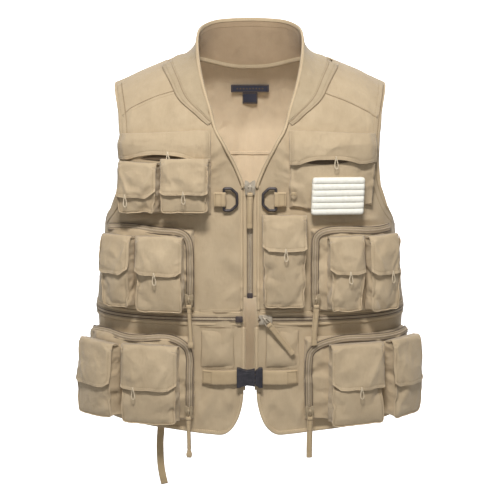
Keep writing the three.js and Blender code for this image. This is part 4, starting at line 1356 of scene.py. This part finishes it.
def front_zip():
    z = np.arange(-398, -213, 3.0)
    path = np.stack([0 * z, 0 * z - FRONT_DEPTH - 0.5, z], 1)
    facing = repeated([0, -1, 0], len(z))
    tape, edges, teeth = Parts(), Parts(), Parts()
    for side in (-1, 1):
        tape.add(strip(path + [side * 2.9, 0, 0], facing, 4.6, 1.4, 0.2))
        bindings.add(strip(path + [side * 7.6, 0.2, 0], facing, 6.6, 2.6, 0.2))
        stitch(path + [side * 6.2, -2.7, 0], facing)
        # A dark strip of painted shade between the tape and the edge binding.
        edges.add(strip(path + [side * 4.1, -0.6, 0], facing, 1.1, 1.4, 0.1, columns=2))
        shifted = path + [side * 1.25, -1.2, 1.35 * (side > 0)]
        box = TOOTH * (0.85, 1.7, 1.3)
        for p in evenly(shifted, facing, 2.7)[0]:
            teeth.add((p + np.stack([box[:, 1], -box[:, 2], box[:, 0]], 1), TOOTH_FACES))
    tape.piece("front_zip_tape", ZIP_TAPE, slot="zip_chain", replaces=["front_zip"])
    edges.piece("front_zip_edges", ZIP_GROOVE_SHADE, slot="zip_chain")
    teeth.piece("front_zip_teeth", ZIP_COIL, slot="zip_chain")
    stop = prism(rounded_box(-4.8, -4.4, 4.8, 4.4, 1.5), 0.2, 2.3, Place(0, -396, 2))
    bevelled(new_piece("front_zip_end_box", *stop, END_STOP, slot="zip_chain"), 0.7)


def waist_zip():
    turn = np.linspace(6, 354, 420)
    normals = torso_normal(turn, WAIST_SEAM)
    path = torso(turn, WAIST_SEAM, POCKET_BACK - 0.6)
    new_piece("waist_zip_tape", *strip(path, normals, 12, 1.2, 0.2), ZIP_TAPE, slot="zip_chain",
              replaces=["waist_zip"])
    # Dark strips of painted shade beside the coil.
    edges = Parts()
    for level_at in (WAIST_SEAM - 2.6, WAIST_SEAM + 2.6):
        line = torso(turn, level_at, POCKET_BACK + 0.2)
        edges.add(strip(line[::2], normals[::2], 1.6, 1.0, 0.1, columns=2))
    edges.piece("waist_zip_edges", ZIP_GROOVE_SHADE, slot="zip_chain")
    teeth = coil(path + normals * 1.0, normals, 2.2, (0.78, 1.5, 1.0))
    new_piece("waist_zip_coil", *teeth, ZIP_COIL, slot="zip_chain")
    stitch_pair(path + normals * 1.3, normals, -4.8)
    # Cloth lips that half cover the zip.
    for level_at in (WAIST_SEAM - 8.3, WAIST_SEAM + 8.3):
        lip = torso(turn, level_at, POCKET_BACK - 2.0)
        bindings.add(strip(lip[::2], normals[::2], 7.0, 2.0, 0.2))
        stitch(lip + normals * 2.3, normals, shift=2.0 if level_at > WAIST_SEAM else -2.0)
    stop = prism(rounded_box(-6, -5, 6, 5, 1.5), -0.5, 3.6, Place(-8.2, WAIST_SEAM, POCKET_BACK))
    bevelled(new_piece("waist_zip_end_box", *stop, END_STOP, slot="zip_chain"), 0.7)


front_zip()
waist_zip()


# ---- sliders and pulls ----

def slider(prefix, place, twist, length, kind, material, bend, size):
    """A slider's plates, neck and bridge, and its pull: a stirrup and doubled webbing, flat or knotted."""
    body = prefix + "_slider_body"
    turned = copy.copy(place).lean(twist)
    shield = [(-4.4, -9.8), (4.4, -9.8), (5.2, -3), (7.0, 4), (6.6, 9.8), (3.4, 9.0), (0, 6.2), (-3.4, 9.0),
              (-6.6, 9.8), (-7.0, 4), (-5.2, -3)]
    shield = rounded(shield, 1.4, 3) * size
    inside = [rounded([(-2.2, 2.2), (2.2, 2.2), (2.0, 6.6), (-2.0, 6.6)], 0.8, 2)]
    inside += [rounded([(side * 4.6, -9.2), (side * 5.7, -9.2), (side * 7.2, 2), (side * 6.2, 2)], 0.4, 2)
               for side in (-1, 1)]
    layers = [(shield * 0.97, 0.4, 1.5), (shield, 3.0, 4.4)]
    parts = prisms(layers + [(outline * size, 1.4, 3.1) for outline in inside], turned)
    share = np.linspace(0, math.pi, 18)
    arch = place.at(0, 5.6 * size * np.cos(share) - 0.5, 4.0 + 4.8 * np.sin(share) ** 0.7)
    parts.add(arched(arch, place.right, circle(1.0, 8) * [1.5, 0.8]))
    bevelled(parts.piece(prefix + "_slider_metal", material, body=body, slot="slider_metal",
                         replaces=[prefix + "_slider"], sharp=40), 0.25, 1)
    pull = prefix + "_pull_body"
    ring = rounded([(-2.6, 2.2), (2.6, 2.2), (4.6, -10.5), (-4.6, -10.5)], 1.6, 4) * [size, 1]
    new_piece(prefix + "_stirrup", *wire_ring(ring, 6.3, 0.95, 8, place), material, body=pull,
              slot="slider_metal")
    count = 44
    y = np.linspace(-7.6, -length, count)
    share = (y - y[0]) / (y[-1] - y[0])
    sway = bend * np.sin(share * 2.6) * share
    lift = 6.2 + 0.5 * np.sin(share * 5)
    path = place.at(sway, y, lift)
    up = repeated(place.outward, count)
    width, thick = np.full(count, 9.4), np.full(count, 2.6)
    if kind == "knot":
        knot = np.exp(-((share - 0.93) / 0.05) ** 2)
        waist = np.exp(-((share - 0.82) / 0.035) ** 2)
        width = 7.4 + 2.6 * knot - 2.0 * waist - 0.9 * smooth(share, 0.1, 0.3) * (1 - smooth(share, 0.7, 0.8))
        thick = 2.7 + 1.9 * knot - 0.3 * waist + 0.5 * np.sin(share * 60) ** 2 * (1 - knot)
    sections = np.stack([flat_section(a, b, 0.35, 8) - [0, b / 2] for a, b in zip(width, thick)])
    t = along(path)
    cloth = Parts().add(loft(path, np.cross(t, up), up, sections))
    fold = place.at(0, -9.5 + np.linspace(1.2, -3.0, 12), 8.0 + 0.4 * np.sin(np.linspace(0, 3, 12)))
    cloth.add(strip(fold, up[:12], 8.8, 0.9, 0.3))
    cloth.piece(prefix + "_pull_webbing", WEBBING, body=pull, slot="webbing", replaces=[prefix + "_pull"])
    top = path + up * (thick / 2 + 0.35)[:, None]
    stitch_pair(top[4:36], up[4:36], -2.7, body=pull, pitch=2.8)
    for k in (8, 14, 36):
        row = top[k] + np.outer([-3, 3], place.right)
        stitch(row, up[:2], body=pull, pitch=2.2)


# Each zip's slider: its place, the place's lean, the plates' twist, the pull's length and kind, the metal,
# how far the pull bends, and the size of the plates.
SLIDERS = [("front_zip", (0, -217, 4), 0, 0, 66, "flat", BRIGHT, -1.0, 1.28),
           ("right_side_zip", (-38.9, -400, SIDE_DEPTH), 0, 0, 80, "knot", ENAMEL, 3.5, 1.0),
           ("left_side_zip", (41.4, -400, SIDE_DEPTH), 0, 0, 76, "flat", ENAMEL, -4.5, 1.0),
           ("right_lower_zip", (-39.4, -588, LOWER_DEPTH), 0, 0, 78, "knot", ENAMEL, 1.0, 1.0),
           ("left_lower_zip", (38.6, -588, LOWER_DEPTH), 0, 0, 78, "flat", ENAMEL, -0.8, 1.0),
           ("waist_zip", (11.5, WAIST_SEAM, POCKET_BACK + 2), 38, 52, 74, "flat", BRIGHT, 0.6, 1.15)]
for slider_prefix, spot, lean, *slider_facts in SLIDERS:
    slider(slider_prefix, Place(*spot).lean(lean), *slider_facts)


# ---- rings, tabs, belt and buckle ----

class Front(Place):
    """A place on the flat of the front: right is +X, outward is -Y."""

    def __init__(self, x, y, z, flip=1):
        self.origin = np.array([x, y, z], float)
        self.right, self.up = np.array([flip, 0.0, 0.0]), np.array([0.0, 0.0, 1.0])
        self.outward = np.array([0.0, -1.0, 0.0])


def d_ring(side, name):
    place = Front(side * RING_X, RING_Y, RING_LEVEL, side)
    corners = rounded([(0, 18), (-11.3, 18), (-21, 9.0), (-21, -9.0), (-11.3, -18), (0, -18)], 2.6, 4)
    new_piece(name + "_metal", *wire_ring(corners, 0, 2.35, 12, place), GUNMETAL, body=name + "_body",
              slot="ring_metal", replaces=[name])


def ring_tab(side, name):
    """Webbing round the ring's bar, both its ends sewn down beside the pocket."""
    turn = np.linspace(math.pi / 2, 3 * math.pi / 2, 9)
    reach = np.concatenate([np.linspace(16.5, 1.0, 10), 2.6 * np.cos(turn), np.linspace(1.0, 16.5, 10)])
    height = np.concatenate([np.linspace(1.7, 2.7, 10), 2.7 * np.sin(turn), np.linspace(-2.7, -2.9, 10)])
    place = Front(side * RING_X, RING_Y, RING_LEVEL, side)
    tab = arched(place.at(reach, 0, height), place.up, flat_section(24, 1.3, 0.1, 8) - [0, 0.65])
    new_piece(name + "_webbing", *tab, WEBBING, slot="webbing", replaces=[name])
    for x, y in (((13.5, 4.8), -9.5), ((13.5, 4.8), 9.5), (13.5, (-9.5, 9.5)), (4.8, (-9.5, 9.5))):
        stitch(place.at(x, y, 3.6), repeated(place.outward, 2), pitch=2.6)


def belt(name, x0, x1, end):
    """Webbing in a slight bow from its sewn end to the buckle. end is 0 where x0 is sewn, 1 where x1 is."""
    sewn = 9.5
    share = np.linspace(0, 1, 30)
    x = x0 + (x1 - x0) * share
    y = BELT_Y + 3.4 * (1 - smooth(share, 0, 0.3)) if end == 0 else BELT_Y + 3.4 * smooth(share, 0.7, 1)
    z = BELT_LEVEL - 0.9 * np.sin(np.pi * share)
    path = np.stack([x, y, z], 1)
    facing = repeated([0, -1, 0], len(path))
    webbing = new_piece(name + "_webbing", *strip(path, facing, 25, 2.0, 0.1, columns=10), WEBBING,
                        slot="webbing", replaces=[name])
    if end == 1:
        # The free part gives way when the plug slides out.
        webbing.parent = None
        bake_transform(webbing)
    front = path + [0, -2.4, 0]
    box = range(1, 8) if end == 0 else range(22, 29)
    for level in (-sewn, sewn):
        stitch(front[list(box)] + [0, 0, level], facing[:len(box)], pitch=2.6)
    for k in (box[0], box[-1]):
        stitch(np.array([front[k] - [0, 0, sewn], front[k] + [0, 0, sewn]]), facing[:2], pitch=2.6)


def mirrored(half):
    """A closed outline from its upper half, left to right."""
    return rounded(half + [(x, -y) for x, y in half[::-1]], 1.6, 3)


def buckle():
    """Socket: two waisted plates round a strap bar. Plug: a frame, a tongue and two barbed prongs."""
    place = Front(0, -127.9, BELT_LEVEL)
    half = [(-22, 16.3), (-17, 16.3), (-13.5, 14.2), (-5, 12.4), (3, 13.2), (8, 14.6)]
    pad = [(-16, -7.5), (-4, -9.5), (4, -8), (4, 8), (-4, 9.5), (-16, 7.5)]
    socket = [(mirrored(half), 0, 2.1), (mirrored(half), 8.7, 11.2),
              (mirrored([(-22, 16.3), (-17, 16.3), (-15, 14.8)]), 2, 8.8)]
    socket += [(rounded_box(-15.5, y - 0.8, 7, y + 0.8, 0.4, 2), 2, 8.8) for y in (-5.2, 5.2)]
    socket += [(rounded(pad, 4, 5), 11, 12.1)]
    socket += [(rounded_box(x, -5, x + 1.4, 5, 0.6, 2), 12.0, 12.7) for x in (-12.5, -9.3, -6.1)]
    bevelled(prisms(socket, place).piece("buckle_socket_shell", NYLON, slot="buckle_nylon",
                                         replaces=["buckle_socket"], sharp=45), 0.9, 3, 40)
    prong = [(-12, 7.6), (-9, 11.8), (-3, 12.6), (-2, 10.4), (9.5, 10.4), (9.5, 7.4)]
    plug = [(mirrored([(8.7, 12.2), (12, 13.4), (14.5, 16.6), (21, 16.6)]), 0.8, 10.6),
            (rounded_box(-11, -2.6, 9.5, 2.6, 1, 3), 3.2, 7.6)]
    plug += [(rounded([(x, side * y) for x, y in prong], 0.8, 2), 3.2, 7.6) for side in (-1, 1)]
    plug += [(rounded_box(x, -13, x + 1.3, 13, 0.6, 2), 10.5, 11.4) for x in (12.2, 15.4, 18.4)]
    bevelled(prisms(plug, place).piece("buckle_plug_shell", NYLON, body="buckle_plug_body",
                                       slot="buckle_nylon", replaces=["buckle_plug"], sharp=45), 0.8, 3, 40)


for ring_side, ring_name in ((-1, "right"), (1, "left")):
    d_ring(ring_side, ring_name + "_d_ring")
    ring_tab(ring_side, ring_name + "_ring_tab")
belt("right_belt_strap", -79, -17.6, 0)
belt("left_belt_strap", 11, 79, 1)
buckle()


# ---- fly patch, label, small details ----

def fly_patch():
    """Ribbed foam: one profile down the patch, swept across it, with rounded sides."""
    place = Place(51, -200, CHEST_DEPTH + GAP)
    rows, columns, half_width, drop, ribs = 97, 40, 44, 61.2, 6
    down = np.linspace(0, drop, rows)
    share = 2 * down / drop - 1
    rib = 6.2 + 2.8 * np.abs(np.sin(np.pi * down / drop * ribs)) ** 0.45
    x = np.linspace(-1, 1, columns)
    side = 1 - np.abs(x)[:, None] ** 14
    ends = (1 - np.abs(share) ** 22)[None]
    height = rib[None] * (0.5 + 0.5 * np.sqrt(np.maximum(side, 0)) * np.sqrt(np.maximum(ends, 0)))
    corner = 2.2 * np.abs(x)[:, None] ** 18 * np.abs(share)[None] ** 14
    grid_y = -down[None] * (1 - corner / drop) - corner / 2
    grid_x = (np.sign(x) * np.abs(x) ** 0.8 * half_width)[:, None] * (1 - corner / half_width)
    c, s = math.cos(math.radians(2)), math.sin(math.radians(2))
    px, py = grid_x * c + grid_y * s, grid_y * c - grid_x * s * 0.6
    piece = new_piece("fly_patch_foam", *shell(place.at(px, py, height), place.at(px, py, 0)), FOAM,
                      slot="patch_foam", replaces=["fly_patch"])


def neck_label():
    place = Place(180, -80, -4.5)
    place.outward = torso_normal(180.0, -80.0)
    place.up = np.cross(place.outward, place.right)
    # Seen from inside the vest, the label's face is its inner side.
    bar = rounded_box(-33, 0, 33, 15, 0.8, 2)
    tag = rounded_box(-13, -24, 13, 0.4, 0.8, 2)
    label = prisms([(bar, 0, 1.0), (tag, 0.1, 0.9)], place)
    label.piece("neck_label_cloth", LABEL, slot="label_cloth", replaces=["neck_label"], sharp=40)
    border = Parts()
    for outline, inset in ((bar, 0.94), (tag, 0.9)):
        middle = outline.mean(0)
        border.add(wire_ring(middle + (outline - middle) * [inset, inset - 0.08], -0.05, 0.35, 5, place))
    for x in np.linspace(-22, 22, 9):
        knot = rounded([(x - 1.6, 7.5), (x, 5.6), (x + 1.6, 7.5), (x, 9.4)], 0.5, 2)
        border.add(prism(knot, -0.35, 0.1, place))
    border.piece("neck_label_border", LABEL_EDGE, slot="label_cloth", sharp=40)


def hem_pocket(side, name):
    """The small soft pocket in the corner of each front, below the waist zip."""
    def place_points(u, v, w):
        turn = side * (12.2 + 21 * u)
        level = -517 + 62 * v
        a, b = 2 * u - 1, 2 * v - 1
        dome = (1 - np.abs(a) ** 3.5) * (1 - np.abs(b) ** 3.5)
        pleat = 0.9 * np.exp(-((a + 0.55 + 0.35 * b) / 0.2) ** 2)
        pleat = pleat + 0.8 * np.exp(-((a - 0.5 + 0.4 * b) / 0.25) ** 2)
        pleat = pleat + 0.9 * np.exp(-((b + 0.25 - 0.7 * a - 0.3 * a * a) / 0.2) ** 2) * smooth(a, -0.6, 0.8)
        out = 2.6 + w * (1.0 + (4.8 - 1.8 * b) * dome + pleat * dome + 0.9 * noise(u * 5, v * 4, 31))
        return torso(turn, level, out)

    box = padded_box(name, [], (22, 20, 1), place_points, 1.0, 2.0)
    inflating.remove(box)
    subdivided(box["piece"])
    edge = [(12.4, -456), (12.3, -486), (12.4, -516.5), (22, -517), (33, -516.5), (33.2, -486), (33, -456)]
    turn, level = curve_through([(side * t, z) for t, z in edge], 1.0).T
    stitch(torso(turn, level, 4.9), torso_normal(turn, level))


def small_loop(turn, level, out, width, height, name):
    """A sewn loop of elastic that stands off the cloth."""
    place = Place(turn, level, out)
    share = np.linspace(0, math.pi, 20)
    path = place.at(-width * np.cos(share), 3 * np.sin(share), height * np.sin(share))
    section = flat_section(5.0, 0.9, 0.1, 6) - [0, 0.45]
    new_piece(name, *arched(path, place.up, section), WEBBING, slot="webbing")


fly_patch()
neck_label()
hem_pocket(-1, "right_hem_pocket_cloth")
hem_pocket(1, "left_hem_pocket_cloth")
small_loop(29.6, -228, CHEST_DEPTH, 5, 5, "chest_tool_loop")

bindings.piece("edge_bindings", BINDING)
welts.piece("felled_seams", KHAKI)
ditches.piece("seam_shadows", SEAM_SHADE)
piping.piece("pouch_piping", BINDING)
for thread_body, thread_parts in threads.items():
    thread_parts.piece("stitching_" + thread_body, THREAD, body=thread_body)


# ---- floor, backdrop and light ----

def stage():
    """A round studio: a pale floor that curves up into walls; the whole glows, painted light, brightest and
    whitest behind the vest.
    """
    n = Nodes(smooth_material("studio_white", (252, 252, 252), (250, 250, 250), 0.9, specular=0.0))
    x, y, z = n.parts(n.node("ShaderNodeTexCoord").outputs["Object"])

    def fade(source, start, end, low, high):
        node = n.node("ShaderNodeMapRange")
        for socket, value in zip(node.inputs, (source, start, end, low, high)):
            n.wire(value, socket)
        return node.outputs["Result"]

    # Painted light: the backdrop glows, most where the camera sees it behind the vest, and its colour is
    # white there and grey elsewhere.
    width = n.math("DIVIDE", n.math("ABSOLUTE", x), n.math("ADD", y, 2.5))
    behind = n.math("MULTIPLY", fade(y, -0.3, 0.55, 0.0, 1.0), fade(width, 0.22, 0.6, 1.0, 0.0))
    glow = n.math("MAXIMUM", behind, fade(z, -1.0, 0.5, 0.05, 0.2))
    n.wire(glow, n.shader.inputs["Emission Strength"])
    n.set(Emission_Color=(1, 1, 1, 1))
    n.wire(n.ramp(behind, [(0, (0.36, 0.36, 0.36, 1)), (1, (1, 1, 1, 1))]), n.shader.inputs["Base Color"])
    floor, flat, curve, top, sides = -1.05, 3.6, 1.6, 6.0, 72
    profile = [(r, floor) for r in (0.4, 1.2, 2.4, flat)]
    profile += [(flat + curve * math.sin(t), floor + curve * (1 - math.cos(t)))
                for t in np.linspace(0.15, math.pi / 2, 12)]
    profile += [(flat + curve, top)]
    points = [(r * math.sin(t), r * math.cos(t), z) for r, z in profile
              for t in np.linspace(0, 2 * math.pi, sides, endpoint=False)]
    faces = []
    for k in range(len(profile) - 1):
        for i in range(sides):
            low, low_next = k * sides + i, k * sides + (i + 1) % sides
            faces.append([low, low_next, low_next + sides, low + sides])
    faces.append(list(range(sides))[::-1])
    mesh = bpy.data.meshes.new("backdrop")
    mesh.from_pydata(points, [], faces)
    mesh.shade_smooth()
    mesh.materials.append(n.material)
    backdrop = bpy.data.objects.new("backdrop", mesh)
    scene.collection.objects.link(backdrop)


def area_light(name, location, size, power, colour=(1, 1, 1)):
    """A rectangular light that faces the middle of the vest."""
    data = bpy.data.lights.new(name, "AREA")
    data.shape, data.size, data.size_y = "RECTANGLE", size[0], size[1]
    data.energy, data.color = power, colour
    light = bpy.data.objects.new(name, data)
    light.location = location
    light.rotation_euler = (Vector((0, 0, -0.3)) - Vector(location)).to_track_quat("-Z", "Y").to_euler()
    scene.collection.objects.link(light)


def lights():
    area_light("key", (-0.06, -1.6, 1.5), (0.55, 0.32), 55, (1.0, 0.988, 0.97))
    area_light("front_fill", (0.0, -2.3, 0.3), (0.7, 0.5), 2.8)
    area_light("back_fill", (0.3, 2.4, 2.0), (2.0, 1.2), 16)
    world = bpy.data.worlds.new("studio")
    world.use_nodes = True
    world.node_tree.nodes["Background"].inputs["Color"].default_value = (1, 1, 1, 1)
    world.node_tree.nodes["Background"].inputs["Strength"].default_value = 0.05
    scene.world = world
    scene.view_settings.view_transform = "Standard"
    scene.view_settings.look = "None"


stage()
lights()
